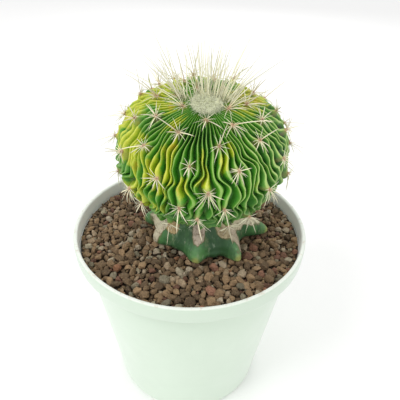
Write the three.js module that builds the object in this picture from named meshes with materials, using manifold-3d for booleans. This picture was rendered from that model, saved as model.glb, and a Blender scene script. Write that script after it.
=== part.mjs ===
// Potted round cactus: a wavy-ribbed, green and yellow cactus head grafted on a short ribbed
// stock, which stands in a bed of volcanic grit in a round white nursery pot.
// Millimetres, +Z up, origin at the centre of the pot's base. Seen from the front the viewer
// stands at -Y.

import * as THREE from 'three';
import { mergeVertices } from 'three/addons/utils/BufferGeometryUtils.js';
import Module from 'manifold-3d';

// Pot
const POT_HEIGHT = 90;
const RIM_RADIUS = 52.5;
const LIP_WIDTH = 1.9;
const LIP_BAND_HEIGHT = 9;
const SHOULDER_HEIGHT = POT_HEIGHT - LIP_BAND_HEIGHT;
const SHOULDER_RADIUS = 47;
const BASE_RADIUS = 36.5;
const BASE_CORNER_RADIUS = 2.5;
const WALL = 1.4;
const FLOOR_TOP = 3.2;
const FOOT_DISC_RADIUS = 12;
const RECESS_OUTER_RADIUS = 30;
const RECESS_DEPTH = 1.5;
const DRAIN_HOLE_COUNT = 6;
const DRAIN_HOLE_RADIUS = 4;
const DRAIN_CIRCLE_RADIUS = 21;
const POT_SEGMENTS = 48;

// Clearance between pieces that touch
const GAP = 0.3;

// Grit
const GRIT_LEVEL = 84.2;
const GRAIN_SPACING = 5.3;
const GRAIN_HEIGHT = 2.3;
const GRAIN_JITTER = 0.32;
const GRAIN_FOOT = -0.4;
const GRAIN_CREVICE = 0.3;
const CALM_RADIUS = 32;
const CALM_SHARE = 0.4;

// Rootstock: azimuth of each rib in degrees and how far its tip reaches from the stock's centre
const STOCK_X = 5;
const STOCK_Y = 3;
const STOCK_RIBS = [
  { azimuth: -151, reach: 24 },
  { azimuth: -95, reach: 26.5 },
  { azimuth: -57, reach: 29.5 },
  { azimuth: -6, reach: 31 },
  { azimuth: 38, reach: 27 },
  { azimuth: 82, reach: 26 },
  { azimuth: 125, reach: 26.5 },
  { azimuth: 172, reach: 27 },
];
const STOCK_TOP = 103.2;
const STOCK_TOP_Y = -2.5;
const STOCK_BURIED = 20;
const STOCK_NECK_RADIUS = 14.2;
const HOLE_RADIUS = 15;

// Scion: a flattened globe that leans towards the viewer
const GLOBE_RADIUS = 36;
const GLOBE_HALF_HEIGHT = 25.5;
const GLOBE_CENTRE = new THREE.Vector3(4.5, 2, 128);
const GLOBE_LEAN = THREE.MathUtils.degToRad(18.5);
const RIB_COUNT = 68;
const RIB_DEPTH = 4.4;
const FIRST_RING_ANGLE = 9;
const UNDERSIDE_RING_ANGLES = [126, 145];
const WIDEST_RING_STEP = 10.6;
const CROWN_DIP = 1.8;
const CROWN_DIP_RADIUS = 9;

// Spine clusters in tiers from the crown down: bearing of each and its angle from the crown
const AREOLE_TIERS = [
  [[-168, 13], [-86, 14], [-14, 15], [50, 15], [104, 15], [155, 18]],
  [[-163, 31], [-123, 28], [-75, 34], [-45, 24], [6, 27], [75, 27], [118, 27], [162, 32]],
  [[-175, 46], [-143, 48], [-101, 47], [-34, 43], [-11, 38], [29, 38], [60, 43], [100, 40], [138, 41]],
  [[-64, 53], [12, 54], [82, 54], [116, 53], [150, 54]],
  [
    [-158, 67], [-122, 62], [-87, 65], [-26, 67], [-1, 64],
    [36, 64], [66, 66], [98, 64], [132, 66], [166, 65],
  ],
  [[-104, 79], [-77, 81], [-47, 77], [17, 79], [50, 79], [82, 80], [114, 79], [148, 80], [178, 79]],
  [[-140, 87], [-93, 89], [-20, 92], [6, 90], [34, 91], [70, 91], [102, 91], [134, 92], [165, 91]],
  [[-131, 97], [-60, 100], [-6, 103], [55, 102], [90, 101], [122, 102], [152, 102], [-165, 101]],
  [[-112, 113], [-72, 113], [-28, 114], [18, 114], [62, 113], [106, 114], [150, 113], [-158, 114]],
];

// The ribs wander in two slow waves, and each cluster pushes them aside and swells its own rib
const RIB_WAVES = [
  { turns: 5, drop: 12, reach: 0.6, start: 0 },
  { turns: 11, drop: -15, reach: 0.6, start: 1.3 },
];
const PUSH = 1.6;
const PUSH_WIDTH = 3.1;
const PUSH_HEIGHT = 4.6;
const SWELL = 1.3;
const SWELL_WIDTH = 2.1;

// A rib is carried aside to pass through its cluster's own place
const CARRY_WIDTH = 5;
const CARRY_HEIGHT = 8;
const LARGEST_CARRY = 2.8;
const CARRY_PASSES = 4;

// Crown wool and the young spines in it
const WOOL_RADIUS = 6.4;
const WOOL_DEPTH = 3;
const WOOL_RISE = 1.7;
const WOOL_LEVEL = 24;
const CROWN_SPINES = 44;
const CROWN_SPINE_LENGTH = 17.5;
const CROWN_SPINE_RADIUS = 0.5;
const CROWN_SPINE_LEAN = 26;

const wasm = await Module();
wasm.setup();

/** A repeatable random number from 0 to 1 for two whole numbers and a purpose. */
function scatter(i, j, purpose) {
  let h = Math.imul(i, 374761393) + Math.imul(j, 668265263) + Math.imul(purpose, 1442695041);
  h = Math.imul(h ^ (h >>> 13), 1274126177);
  h = Math.imul(h ^ (h >>> 15), 2246822519);
  return ((h ^ (h >>> 16)) >>> 0) / 4294967296;
}

function radians(degrees) {
  return THREE.MathUtils.degToRad(degrees);
}

/** The solid inside a closed surface. */
function solidOf(geometry) {
  const bare = geometry.clone();
  bare.deleteAttribute('normal');
  bare.deleteAttribute('uv');
  const merged = mergeVertices(bare, 1e-4);
  const corners = merged.getIndex().array;
  const triangles = [];
  for (let i = 0; i < corners.length; i += 3) {
    const [a, b, c] = corners.slice(i, i + 3);
    const pointed = a !== b && b !== c && c !== a;
    if (pointed) triangles.push(a, b, c);
  }
  const vertProperties = merged.getAttribute('position').array;
  const triVerts = new Uint32Array(triangles);
  return new wasm.Manifold(new wasm.Mesh({ numProp: 3, vertProperties, triVerts }));
}

/** A named, coloured mesh of a solid. */
function meshOf(name, solid, material) {
  const surface = solid.getMesh();
  const geometry = new THREE.BufferGeometry();
  geometry.setAttribute('position', new THREE.BufferAttribute(surface.vertProperties, 3));
  geometry.setIndex(new THREE.BufferAttribute(surface.triVerts, 1));
  geometry.computeVertexNormals();
  const mesh = new THREE.Mesh(geometry, material);
  mesh.name = name;
  return mesh;
}

/** A solid of revolution about +Z, from its section's points (radius, height). */
function turned(section, segments) {
  const points = section.map(([radius, height]) => new THREE.Vector2(radius, height));
  return new THREE.LatheGeometry(points, segments).rotateX(Math.PI / 2);
}

/** Moves every vertex of a turned surface to place(azimuth, ring). */
function reshape(geometry, rings, segments, place) {
  const position = geometry.getAttribute('position');
  for (let i = 0; i < position.count; i++) {
    const segment = Math.floor(i / rings) % segments;
    const point = place(segment, i % rings);
    position.setXYZ(i, point.x, point.y, point.z);
  }
  return geometry;
}

// ---------------------------------------------------------------- pot

/** Radius of the pot's outer wall at a height. */
function potWallRadius(height) {
  return THREE.MathUtils.mapLinear(height, 0, SHOULDER_HEIGHT, BASE_RADIUS, SHOULDER_RADIUS);
}

/** Points of a section's round stretch, between two angles in degrees. */
function arc(x, z, radius, from, to, steps) {
  const points = [];
  for (let i = 0; i <= steps; i++) {
    const angle = radians(THREE.MathUtils.lerp(from, to, i / steps));
    points.push([x + radius * Math.cos(angle), z + radius * Math.sin(angle)]);
  }
  return points;
}

const lipRound = LIP_WIDTH / 2;
const lipInnerRadius = RIM_RADIUS - LIP_WIDTH;
const cornerX = potWallRadius(BASE_CORNER_RADIUS) - BASE_CORNER_RADIUS;

function pot() {
  const section = [
    [0, 0],
    [FOOT_DISC_RADIUS, 0],
    [FOOT_DISC_RADIUS + 1, RECESS_DEPTH],
    [RECESS_OUTER_RADIUS - 1, RECESS_DEPTH],
    [RECESS_OUTER_RADIUS, 0],
    ...arc(cornerX, BASE_CORNER_RADIUS, BASE_CORNER_RADIUS, -90, 0, 3),
    [SHOULDER_RADIUS, SHOULDER_HEIGHT],
    [RIM_RADIUS - 1.3, SHOULDER_HEIGHT + 0.6],
    [RIM_RADIUS - 0.3, SHOULDER_HEIGHT + 2.2],
    ...arc(RIM_RADIUS - lipRound, POT_HEIGHT - lipRound, lipRound, 0, 180, 4),
    [lipInnerRadius - 0.2, SHOULDER_HEIGHT + 2],
    [SHOULDER_RADIUS - WALL, SHOULDER_HEIGHT + 1.2],
    [potWallRadius(FLOOR_TOP + 1) - WALL, FLOOR_TOP + 1],
    [potWallRadius(FLOOR_TOP + 1) - WALL - 1.2, FLOOR_TOP],
    [0, FLOOR_TOP],
  ];
  let body = solidOf(turned(section, POT_SEGMENTS));
  for (let i = 0; i < DRAIN_HOLE_COUNT; i++) {
    const drill = new THREE.CylinderGeometry(DRAIN_HOLE_RADIUS, DRAIN_HOLE_RADIUS, 4 * FLOOR_TOP, 16);
    const azimuth = (i / DRAIN_HOLE_COUNT) * 2 * Math.PI;
    drill.rotateX(Math.PI / 2);
    drill.translate(DRAIN_CIRCLE_RADIUS * Math.cos(azimuth), DRAIN_CIRCLE_RADIUS * Math.sin(azimuth), 0);
    body = body.subtract(solidOf(drill));
  }
  const plastic = new THREE.MeshStandardMaterial({ color: 0xe6f0e4, roughness: 0.45, metalness: 0 });
  return meshOf('pot', body, plastic);
}

// ---------------------------------------------------------------- grit

/** Height over the grit's level at a lattice point: every third one is a grain's peak. */
function grainRise(i, j, x, y) {
  const isPeak = (((i + j) % 3) + 3) % 3 === 0;
  if (!isPeak) return GRAIN_FOOT - GRAIN_CREVICE * scatter(i, j, 4);
  const isCalm = Math.hypot(x - STOCK_X, y - STOCK_Y) < CALM_RADIUS;
  const peak = GRAIN_HEIGHT * THREE.MathUtils.lerp(0.2, 1, scatter(i, j, 3));
  return GRAIN_FOOT + (isCalm ? CALM_SHARE * peak : peak);
}

/** A slab whose top is a bed of six-sided grains, each a small pyramid with its own height. */
function grainSlab() {
  const step = GRAIN_SPACING / Math.sqrt(3);
  const count = 2 * Math.ceil((1.6 * RIM_RADIUS) / step);
  const slab = new THREE.BoxGeometry(count, count, 2, count, count, 1);
  const position = slab.getAttribute('position');
  for (let k = 0; k < position.count; k++) {
    const i = Math.round(position.getX(k));
    const j = Math.round(position.getY(k));
    const swing = scatter(i, j, 1) * 2 * Math.PI;
    const slip = scatter(i, j, 2) * GRAIN_JITTER * step;
    const x = (i - j / 2) * step + slip * Math.cos(swing);
    const y = j * step * Math.sqrt(0.75) + slip * Math.sin(swing);
    const isTop = position.getZ(k) > 0;
    position.setXYZ(k, x, y, isTop ? GRIT_LEVEL + grainRise(i, j, x, y) : -1);
  }
  return solidOf(slab);
}

function substrate() {
  const floor = FLOOR_TOP + GAP;
  const low = potWallRadius(FLOOR_TOP + 1) - WALL - GAP;
  const section = [
    [0, floor],
    [low - 1.3, floor],
    [low, floor + 1.1],
    [SHOULDER_RADIUS - WALL - GAP, SHOULDER_HEIGHT + 1.4],
    [lipInnerRadius - 0.2 - GAP, SHOULDER_HEIGHT + 2.3],
    [lipInnerRadius - GAP, POT_HEIGHT],
    [0, POT_HEIGHT],
  ];
  const bed = solidOf(turned(section, POT_SEGMENTS));
  const hole = new THREE.CylinderGeometry(HOLE_RADIUS, HOLE_RADIUS, 2 * STOCK_BURIED, 32);
  hole.rotateX(Math.PI / 2);
  hole.translate(STOCK_X, STOCK_Y, GRIT_LEVEL - GAP);
  const grit = new THREE.MeshStandardMaterial({ color: 0x8a6552, roughness: 0.95, metalness: 0 });
  return meshOf('substrate', bed.intersect(grainSlab()).subtract(solidOf(hole)), grit);
}

// ---------------------------------------------------------------- rootstock

// Height over the grit, radius between two ribs, share of a rib's reach at its crest
const STOCK_SECTION = [
  [-STOCK_BURIED, 8.5, 0],
  [-6, 13, 0],
  [-0.3, STOCK_NECK_RADIUS, 0],
  [0.8, 15, 0],
  [1.2, 17.5, 0.6],
  [2.2, 20.6, 1],
  [4.4, 21.8, 0.96],
  [7.4, 20.8, 0.66],
  [11, 18.2, 0.3],
  [15, 15.5, 0.08],
  [STOCK_TOP - GRIT_LEVEL, 13.6, 0],
];
const SEGMENTS_PER_STOCK_RIB = 8;

/** Azimuth and reach at a place round the stock, where rib k's crest is at k. */
function stockRibAt(place) {
  const here = Math.floor(place);
  const rib = STOCK_RIBS[here % STOCK_RIBS.length];
  const next = STOCK_RIBS[(here + 1) % STOCK_RIBS.length];
  const turn = (next.azimuth - rib.azimuth + 360) % 360;
  const part = place - here;
  return {
    azimuth: radians(rib.azimuth + part * turn),
    reach: THREE.MathUtils.lerp(rib.reach, next.reach, part),
    crest: Math.pow(0.5 + 0.5 * Math.cos(2 * Math.PI * part), 2),
  };
}

function rootstock() {
  const rings = STOCK_SECTION.length + 2;
  const segments = STOCK_RIBS.length * SEGMENTS_PER_STOCK_RIB;
  const section = [[0, -1], ...STOCK_SECTION.map((row, i) => [1, i]), [0, STOCK_SECTION.length]];
  const skin = reshape(turned(section, segments), rings, segments, (segment, ring) => {
    const row = STOCK_SECTION[THREE.MathUtils.clamp(ring - 1, 0, STOCK_SECTION.length - 1)];
    const onAxis = ring === 0 || ring === rings - 1;
    const [height, valley, share] = row;
    const rib = stockRibAt(segment / SEGMENTS_PER_STOCK_RIB);
    const radius = onAxis ? 0 : valley + rib.crest * share * (rib.reach - valley);
    const lean = THREE.MathUtils.smoothstep(height, 2, STOCK_TOP - GRIT_LEVEL);
    const x = STOCK_X + radius * Math.cos(rib.azimuth);
    const y = THREE.MathUtils.lerp(STOCK_Y, STOCK_TOP_Y, lean) + radius * Math.sin(rib.azimuth);
    return new THREE.Vector3(x, y, GRIT_LEVEL + height);
  });
  const green = new THREE.MeshStandardMaterial({ color: 0x5c8d6b, roughness: 0.6, metalness: 0 });
  return meshOf('rootstock', solidOf(skin), green);
}

// ---------------------------------------------------------------- scion

const RIB_PITCH = (2 * Math.PI) / RIB_COUNT;

/** Every spine cluster: its rib, that rib's azimuth, its angle from the crown and its tier. */
const areoles = AREOLE_TIERS.flatMap((places, tier) =>
  places.map(([bearing, polar]) => {
    const rib = Math.round(radians(bearing) / RIB_PITCH);
    const azimuth = rib * RIB_PITCH;
    const wanted = radians(bearing) - azimuth;
    return { rib: (rib + RIB_COUNT) % RIB_COUNT, tier, azimuth, wanted, polar: radians(polar), carry: 0 };
  }),
);

/** Angle from the crown of a tier's ring, which passes through all of the tier's clusters. */
function tierAngle(tier, azimuth) {
  const turn = 2 * Math.PI;
  const ahead = (spot) => (((spot.azimuth - azimuth) % turn) + turn) % turn;
  const spots = areoles.filter((spot) => spot.tier === tier).sort((a, b) => ahead(a) - ahead(b));
  const next = spots[0];
  const last = spots.at(-1);
  const gap = turn - ahead(last);
  const share = THREE.MathUtils.smoothstep(gap / (gap + ahead(next)), 0, 1);
  return THREE.MathUtils.lerp(last.polar, next.polar, share);
}

/** Offsets in millimetres over the globe's skin from a cluster to a place. */
function offsetFrom(spot, azimuth, polar) {
  const turn = Math.atan2(Math.sin(azimuth - spot.azimuth), Math.cos(azimuth - spot.azimuth));
  const across = turn * GLOBE_RADIUS * Math.sin(polar);
  const along = ((polar - spot.polar) * (GLOBE_RADIUS + GLOBE_HALF_HEIGHT)) / 2;
  return { across, along };
}

/** How far the ribs are pushed sideways and swollen at a place: they bow round each cluster. */
function ribFlow(azimuth, polar) {
  const flow = { push: 0, swell: 0 };
  for (const { turns, drop, reach, start } of RIB_WAVES) {
    flow.push += reach * Math.sin(turns * azimuth + drop * polar + start);
  }
  for (const spot of areoles) {
    const { across, along } = offsetFrom(spot, azimuth, polar);
    const near = Math.exp(-0.5 * ((across / PUSH_WIDTH) ** 2 + (along / PUSH_HEIGHT) ** 2));
    flow.push += PUSH * (across / PUSH_WIDTH) * near;
    const carried = (across / CARRY_WIDTH) ** 2 + (along / CARRY_HEIGHT) ** 2;
    flow.push += spot.carry * Math.exp(-0.5 * carried);
    flow.swell += SWELL * Math.exp((-0.5 * (across ** 2 + along ** 2)) / SWELL_WIDTH ** 2);
  }
  return flow;
}

/** How fast the ribs start to wander outside the crown, at a radius from the globe's axis. */
function wanderShare(radius) {
  return THREE.MathUtils.smoothstep(radius, 5, 24);
}

for (let pass = 0; pass < CARRY_PASSES; pass++) {
  for (const spot of areoles) {
    const radius = GLOBE_RADIUS * Math.sin(spot.polar);
    const share = Math.max(wanderShare(radius), 0.5);
    const missing = (spot.wanted * radius) / share - ribFlow(spot.azimuth, spot.polar).push;
    spot.carry = THREE.MathUtils.clamp(spot.carry + missing, -LARGEST_CARRY, LARGEST_CARRY);
  }
}

/** Depth of the furrows between the ribs: shallow at the crown, and again under the globe. */
function ribDepth(polar) {
  const fromCrown = THREE.MathUtils.smoothstep(polar, radians(4), radians(42));
  const fromBase = THREE.MathUtils.smoothstep(Math.PI - polar, radians(15), radians(60));
  return RIB_DEPTH * (0.1 + 0.9 * fromCrown) * (0.25 + 0.75 * fromBase);
}

/** A point of the globe's skin and the skin's outward direction, in the globe's own frame. */
function skinAt(azimuth, polar, furrow) {
  const flow = ribFlow(azimuth, polar);
  const radius = GLOBE_RADIUS * Math.sin(polar);
  const fade = wanderShare(radius);
  const bearing = azimuth + (fade * flow.push) / Math.max(radius, 8);
  const dip = CROWN_DIP * Math.exp(-((radius / CROWN_DIP_RADIUS) ** 2));
  const height = GLOBE_HALF_HEIGHT * Math.cos(polar) - (polar < Math.PI / 2 ? dip : 0);
  const outward = new THREE.Vector3(
    (Math.sin(polar) / GLOBE_RADIUS) * Math.cos(bearing),
    (Math.sin(polar) / GLOBE_RADIUS) * Math.sin(bearing),
    Math.cos(polar) / GLOBE_HALF_HEIGHT,
  ).normalize();
  const point = new THREE.Vector3(radius * Math.cos(bearing), radius * Math.sin(bearing), height);
  point.addScaledVector(outward, fade * flow.swell - furrow * ribDepth(polar));
  return { point, outward };
}

/** Places a geometry or point of the globe's own frame in the pot's frame. */
const globeToPot = new THREE.Matrix4()
  .makeRotationX(GLOBE_LEAN)
  .setPosition(GLOBE_CENTRE);

/** The globe's rings: one through every tier, and one between two that are far apart. */
function skinRings() {
  const level = (angle) => ({ mean: angle, at: () => radians(angle) });
  const tiers = AREOLE_TIERS.map((places, tier) => ({
    tier,
    mean: places.reduce((sum, [, polar]) => sum + polar, 0) / places.length,
    at: (azimuth) => tierAngle(tier, azimuth),
  }));
  const marks = [level(FIRST_RING_ANGLE), ...tiers, ...UNDERSIDE_RING_ANGLES.map(level)];
  return marks.flatMap((mark, i) => {
    const last = marks[i - 1];
    if (!last || mark.mean - last.mean < WIDEST_RING_STEP) return [mark];
    return [{ at: (azimuth) => (last.at(azimuth) + mark.at(azimuth)) / 2 }, mark];
  });
}

/** The globe's skin: a crest and a furrow for every rib, ring by ring from the underside up. */
function ribbedSkin() {
  const levels = skinRings().reverse();
  const segments = 2 * RIB_COUNT;
  const rings = levels.length + 2;
  const section = [[0, -1], ...levels.map((level, i) => [1, i]), [0, rings]];
  const skin = reshape(turned(section, segments), rings, segments, (segment, ring) => {
    if (ring === 0) return new THREE.Vector3(0, 0, -GLOBE_HALF_HEIGHT + RIB_DEPTH);
    if (ring === rings - 1) return new THREE.Vector3(0, 0, GLOBE_HALF_HEIGHT - CROWN_DIP);
    const azimuth = (segment / 2) * RIB_PITCH;
    return skinAt(azimuth, levels[ring - 1].at(azimuth), segment % 2).point;
  });
  const vertexAt = (rib, tier) => 2 * rib * rings + levels.findIndex((level) => level.tier === tier) + 1;
  const isSame = (a, b) => a % (segments * rings) === b % (segments * rings);
  return { skin, vertexAt, isSame };
}

/** A three-sided needle from a root to a tip. */
function needle(root, tip, radius) {
  const along = new THREE.Vector3().subVectors(tip, root);
  const length = along.length();
  const cone = new THREE.ConeGeometry(radius, length, 3, 1);
  cone.translate(0, length / 2, 0);
  const turn = new THREE.Quaternion().setFromUnitVectors(new THREE.Vector3(0, 1, 0), along.normalize());
  cone.applyQuaternion(turn);
  cone.translate(root.x, root.y, root.z);
  return cone;
}

// Spines of a cluster: sideways angle from the way they lean, and how far they stand off the skin
const CLUSTER_SPINES = [
  { aside: 6, stand: 66, share: 1 },
  { aside: -48, stand: 50, share: 0.85 },
  { aside: 48, stand: 50, share: 0.85 },
  { aside: -140, stand: 34, share: 0.45 },
  { aside: 140, stand: 34, share: 0.45 },
];
const SPINE_ROOT_SHARE = 0.2;
const SPINE_ROOT_PLACE = 0.26;
const SPINE_SWAY = 10;
const LONGEST_SPINE = 18;
const LOWEST_SPINE = 9;
const BESIDE_CROWN = 30;
const UPPER_GLOBE = 58;
const LEAST_FACING = 0.2;

/** Length of a cluster's longest spine: longest near the crown. */
function spineLength(polar) {
  const share = THREE.MathUtils.smoothstep(polar, radians(20), radians(95));
  return THREE.MathUtils.lerp(LONGEST_SPINE, LOWEST_SPINE, share);
}

/**
 * Direction of a spine. Beside the crown it leans away from the tuft, on the upper globe it leans
 * up, and round the globe's side and below it hangs.
 */
function spineDirection(outward, spot, aside, stand) {
  const east = new THREE.Vector3(-Math.sin(spot.azimuth), Math.cos(spot.azimuth), 0);
  const down = new THREE.Vector3().crossVectors(east, outward);
  const isBesideCrown = spot.polar < radians(BESIDE_CROWN);
  const isUpper = !isBesideCrown && spot.polar < radians(UPPER_GLOBE);
  const heading = radians(isBesideCrown ? 0.6 * aside : isUpper ? aside + 180 : aside);
  return new THREE.Vector3()
    .addScaledVector(outward, Math.sin(radians(stand)))
    .addScaledVector(down, Math.cos(radians(stand)) * Math.cos(heading))
    .addScaledVector(east, Math.cos(radians(stand)) * Math.sin(heading));
}

/** The middle of three corners. */
function middleOf(corners) {
  return new THREE.Triangle(...corners).getMidpoint(new THREE.Vector3());
}

/** Every face of a surface: its vertices and their places. */
function facesOf(surface) {
  const position = surface.getAttribute('position');
  const index = surface.getIndex().array;
  const faces = [];
  for (let i = 0; i < index.length; i += 3) {
    const vertices = [...index.slice(i, i + 3)];
    const corners = vertices.map((v) => new THREE.Vector3().fromBufferAttribute(position, v));
    faces.push({ vertices, corners });
  }
  return faces;
}

/** The free face round a cluster's place that a spine leaves best: it leans the spine's way. */
function bestFace(faces, apex, way) {
  let best = null;
  for (const face of faces.filter(({ tip }) => !tip)) {
    const facing = new THREE.Triangle(...face.corners).getNormal(new THREE.Vector3()).dot(way);
    const lean = middleOf(face.corners).sub(apex).normalize().dot(way) + facing;
    if (facing > LEAST_FACING && (!best || lean > best.lean)) best = { face, lean };
  }
  return best?.face;
}

/**
 * Splits a face round a small triangle close to the corner that the spine stands at, and raises
 * that triangle to a three-sided spine. Returns the new faces' corners, three by three.
 */
function raiseSpine({ corners, foot, tip }) {
  const centre = corners[foot].clone().lerp(middleOf(corners), SPINE_ROOT_PLACE);
  const root = corners.map((corner) => centre.clone().lerp(corner, SPINE_ROOT_SHARE));
  const faces = [];
  for (let i = 0; i < 3; i++) {
    const j = (i + 1) % 3;
    faces.push(corners[i], corners[j], root[j]);
    faces.push(corners[i], root[j], root[i]);
    faces.push(root[i], root[j], tip);
  }
  return faces;
}

/** Gives the faces round one cluster's place their spines: a tip, and the corner it stands at. */
function plantCluster(spot, number, faces, isHere) {
  const { outward } = skinAt(spot.azimuth, spot.polar, 0);
  const round = faces.filter(({ vertices }) => vertices.some(isHere));
  const apex = round[0].corners[round[0].vertices.findIndex(isHere)];
  CLUSTER_SPINES.forEach(({ aside, stand, share }, n) => {
    const sway = SPINE_SWAY * (2 * scatter(number, n, 7) - 1);
    const way = spineDirection(outward, spot, aside + sway, stand);
    const face = bestFace(round, apex, way);
    if (!face) return;
    const length = share * spineLength(spot.polar) * (0.85 + 0.3 * scatter(number, n, 8));
    face.foot = face.vertices.findIndex(isHere);
    face.tip = apex.clone().addScaledVector(way, length);
  });
}

/** The globe's skin with the spines of every cluster raised from it. */
function spinySkin() {
  const { skin, vertexAt, isSame } = ribbedSkin();
  const faces = facesOf(skin);
  areoles.forEach((spot, number) => {
    const vertex = vertexAt(spot.rib, spot.tier);
    plantCluster(spot, number, faces, (other) => isSame(other, vertex));
  });
  const points = faces.flatMap((face) => (face.tip ? raiseSpine(face) : face.corners));
  return new THREE.BufferGeometry().setFromPoints(points);
}

/** A shallow bowl shape at the crown, for the wool and for the hollow that it sits in. */
function crownBowl(radius, depth, rise) {
  const under = arc(0, 0, 1, -90, 0, 5).map(([x, z]) => [x * radius, WOOL_LEVEL + z * depth]);
  const over = arc(0, 0, 1, 0, 90, 5).slice(1).map(([x, z]) => [x * radius, WOOL_LEVEL + z * rise]);
  return turned([...under, ...over], 24);
}

function scion() {
  let body = solidOf(spinySkin().applyMatrix4(globeToPot));
  const stand = new THREE.BoxGeometry(4 * GLOBE_RADIUS, 4 * GLOBE_RADIUS, STOCK_TOP);
  stand.translate(0, 0, STOCK_TOP / 2 + GAP);
  body = body.subtract(solidOf(stand));
  const hollow = crownBowl(WOOL_RADIUS + GAP, WOOL_DEPTH + GAP, 3 * WOOL_RISE);
  body = body.subtract(solidOf(hollow.applyMatrix4(globeToPot)));
  const green = new THREE.MeshStandardMaterial({ color: 0x5f9a2e, roughness: 0.5, metalness: 0 });
  return meshOf('scion', body, green);
}

// ---------------------------------------------------------------- crown

function crownTuft() {
  let tuft = solidOf(crownBowl(WOOL_RADIUS, WOOL_DEPTH, WOOL_RISE).applyMatrix4(globeToPot));
  for (let i = 0; i < CROWN_SPINES; i++) {
    const spread = Math.sqrt((i + 0.5) / CROWN_SPINES);
    const azimuth = i * Math.PI * (3 - Math.sqrt(5));
    const lean = radians(CROWN_SPINE_LEAN * spread * (0.8 + 0.4 * scatter(i, 0, 9)));
    const length = CROWN_SPINE_LENGTH * (0.75 + 0.35 * scatter(i, 0, 10));
    const foot = 0.85 * WOOL_RADIUS * spread;
    const root = new THREE.Vector3(foot * Math.cos(azimuth), foot * Math.sin(azimuth), WOOL_LEVEL - 0.6);
    const way = new THREE.Vector3(
      Math.sin(lean) * Math.cos(azimuth),
      Math.sin(lean) * Math.sin(azimuth),
      Math.cos(lean),
    );
    const spine = needle(root, root.clone().addScaledVector(way, length), CROWN_SPINE_RADIUS);
    tuft = tuft.add(solidOf(spine.applyMatrix4(globeToPot)));
  }
  const cream = new THREE.MeshStandardMaterial({ color: 0xd9d3b0, roughness: 0.9, metalness: 0 });
  return meshOf('crown_tuft', tuft, cream);
}

const pottedCactus = new THREE.Group();
pottedCactus.add(pot(), substrate(), rootstock(), scion(), crownTuft());

export default pottedCactus;
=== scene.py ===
"""Potted round cactus: a wavy-ribbed variegated globe grafted on a short blue-green stock,
in volcanic grit in a round white pot. Millimetre sizes are turned to metres by MM."""
import math

import bmesh
import bpy
import numpy as np
from mathutils import Matrix, Vector


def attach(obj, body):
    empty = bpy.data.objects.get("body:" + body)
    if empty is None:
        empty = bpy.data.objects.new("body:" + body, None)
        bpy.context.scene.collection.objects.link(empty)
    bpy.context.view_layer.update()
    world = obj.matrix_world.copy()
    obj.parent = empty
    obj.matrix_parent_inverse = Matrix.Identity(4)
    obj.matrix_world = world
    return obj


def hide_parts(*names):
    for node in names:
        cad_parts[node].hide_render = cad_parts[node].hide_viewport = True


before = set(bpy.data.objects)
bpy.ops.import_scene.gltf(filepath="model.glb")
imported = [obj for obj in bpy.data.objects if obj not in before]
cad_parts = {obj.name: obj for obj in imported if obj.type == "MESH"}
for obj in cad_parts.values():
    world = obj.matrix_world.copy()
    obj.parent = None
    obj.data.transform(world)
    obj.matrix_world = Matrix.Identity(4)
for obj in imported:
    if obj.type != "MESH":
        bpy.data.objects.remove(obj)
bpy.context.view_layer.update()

bl_info = {
    "name": "Potted round cactus",
    "version": (1, 0, 0),
    "blender": (4, 5, 0),
    "location": "View3D > Sidebar > Cactus",
    "description": "Builds a grafted globe cactus in grit in a nursery pot, piece by piece",
    "category": "Add Mesh",
}

MM = 0.001
TURN = 2 * math.pi
GOLDEN_TURN = math.pi * (3 - math.sqrt(5))
WORD = 0xFFFFFFFF


# ---------------------------------------------------------------- small sums


def srgb(red, green, blue):
    """A colour given in 0 to 255 steps, as the linear light that materials use."""
    return tuple(
        (c / 255 / 12.92) if c <= 10 else ((c / 255 + 0.055) / 1.055) ** 2.4
        for c in (red, green, blue)
    )


def shade(colour, factor):
    return tuple(min(1, c * factor) for c in colour)


def smoothstep(value, low, high):
    share = np.clip((value - low) / (high - low), 0, 1)
    return share * share * (3 - 2 * share)


def bell(value, width):
    return np.exp(-0.5 * (value / width) ** 2)


def mound(across, along):
    """A bell over two directions at once, both counted in its widths."""
    return np.exp(-0.5 * (across**2 + along**2))


def wrapped(angle):
    return np.arctan2(np.sin(angle), np.cos(angle))


def toward(azimuth, bearing, width):
    """How close a direction is to a bearing in degrees: 1 on it, less over a width in degrees."""
    return bell(np.degrees(wrapped(azimuth - math.radians(bearing))), width)


def unit(vectors):
    return vectors / np.maximum(np.linalg.norm(vectors, axis=-1, keepdims=True), 1e-12)


def ring(angle, radius, height):
    """Points at an angle round the Z axis, a radius from it and a height."""
    return np.stack([radius * np.cos(angle), radius * np.sin(angle), height + 0 * angle], -1)


def ramp_between(start, end, share):
    return start + (end - start) * share


def stirred(i, j, k, more=0):
    """32 bits that look random, always the same for the same whole numbers."""
    h = (i * 374761393 + j * 668265263 + k * 1442695041 + more) & WORD
    return ((h ^ (h >> 13)) * 1274126177) & WORD


def scatter(i, j, purpose):
    """A repeatable number from 0 to 1 for a place in a pattern."""
    h = stirred(i, j, purpose)
    h = ((h ^ (h >> 15)) * 2246822519) & WORD
    return (h ^ (h >> 16)) / 2**32


def lumps(points, size, seed):
    """Smooth noise from -1 to 1 at each point; its lumps are about size across."""
    place = np.asarray(points, float) / size + np.array((17.3, 41.9, 73.1)) * seed
    cell = np.floor(place).astype(np.int64)
    part = place - cell
    part = part * part * (3 - 2 * part)
    total = np.zeros(len(place))
    for corner in range(8):
        step = np.array(((corner >> 0) & 1, (corner >> 1) & 1, (corner >> 2) & 1))
        share = np.prod(np.where(step, part, 1 - part), axis=1)
        h = stirred(*(cell + step).T, seed * 97)
        total += share * ((h ^ (h >> 16)) & 0xFFFF) / 0xFFFF
    return 2 * total - 1


# ---------------------------------------------------------------- mesh helpers


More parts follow.
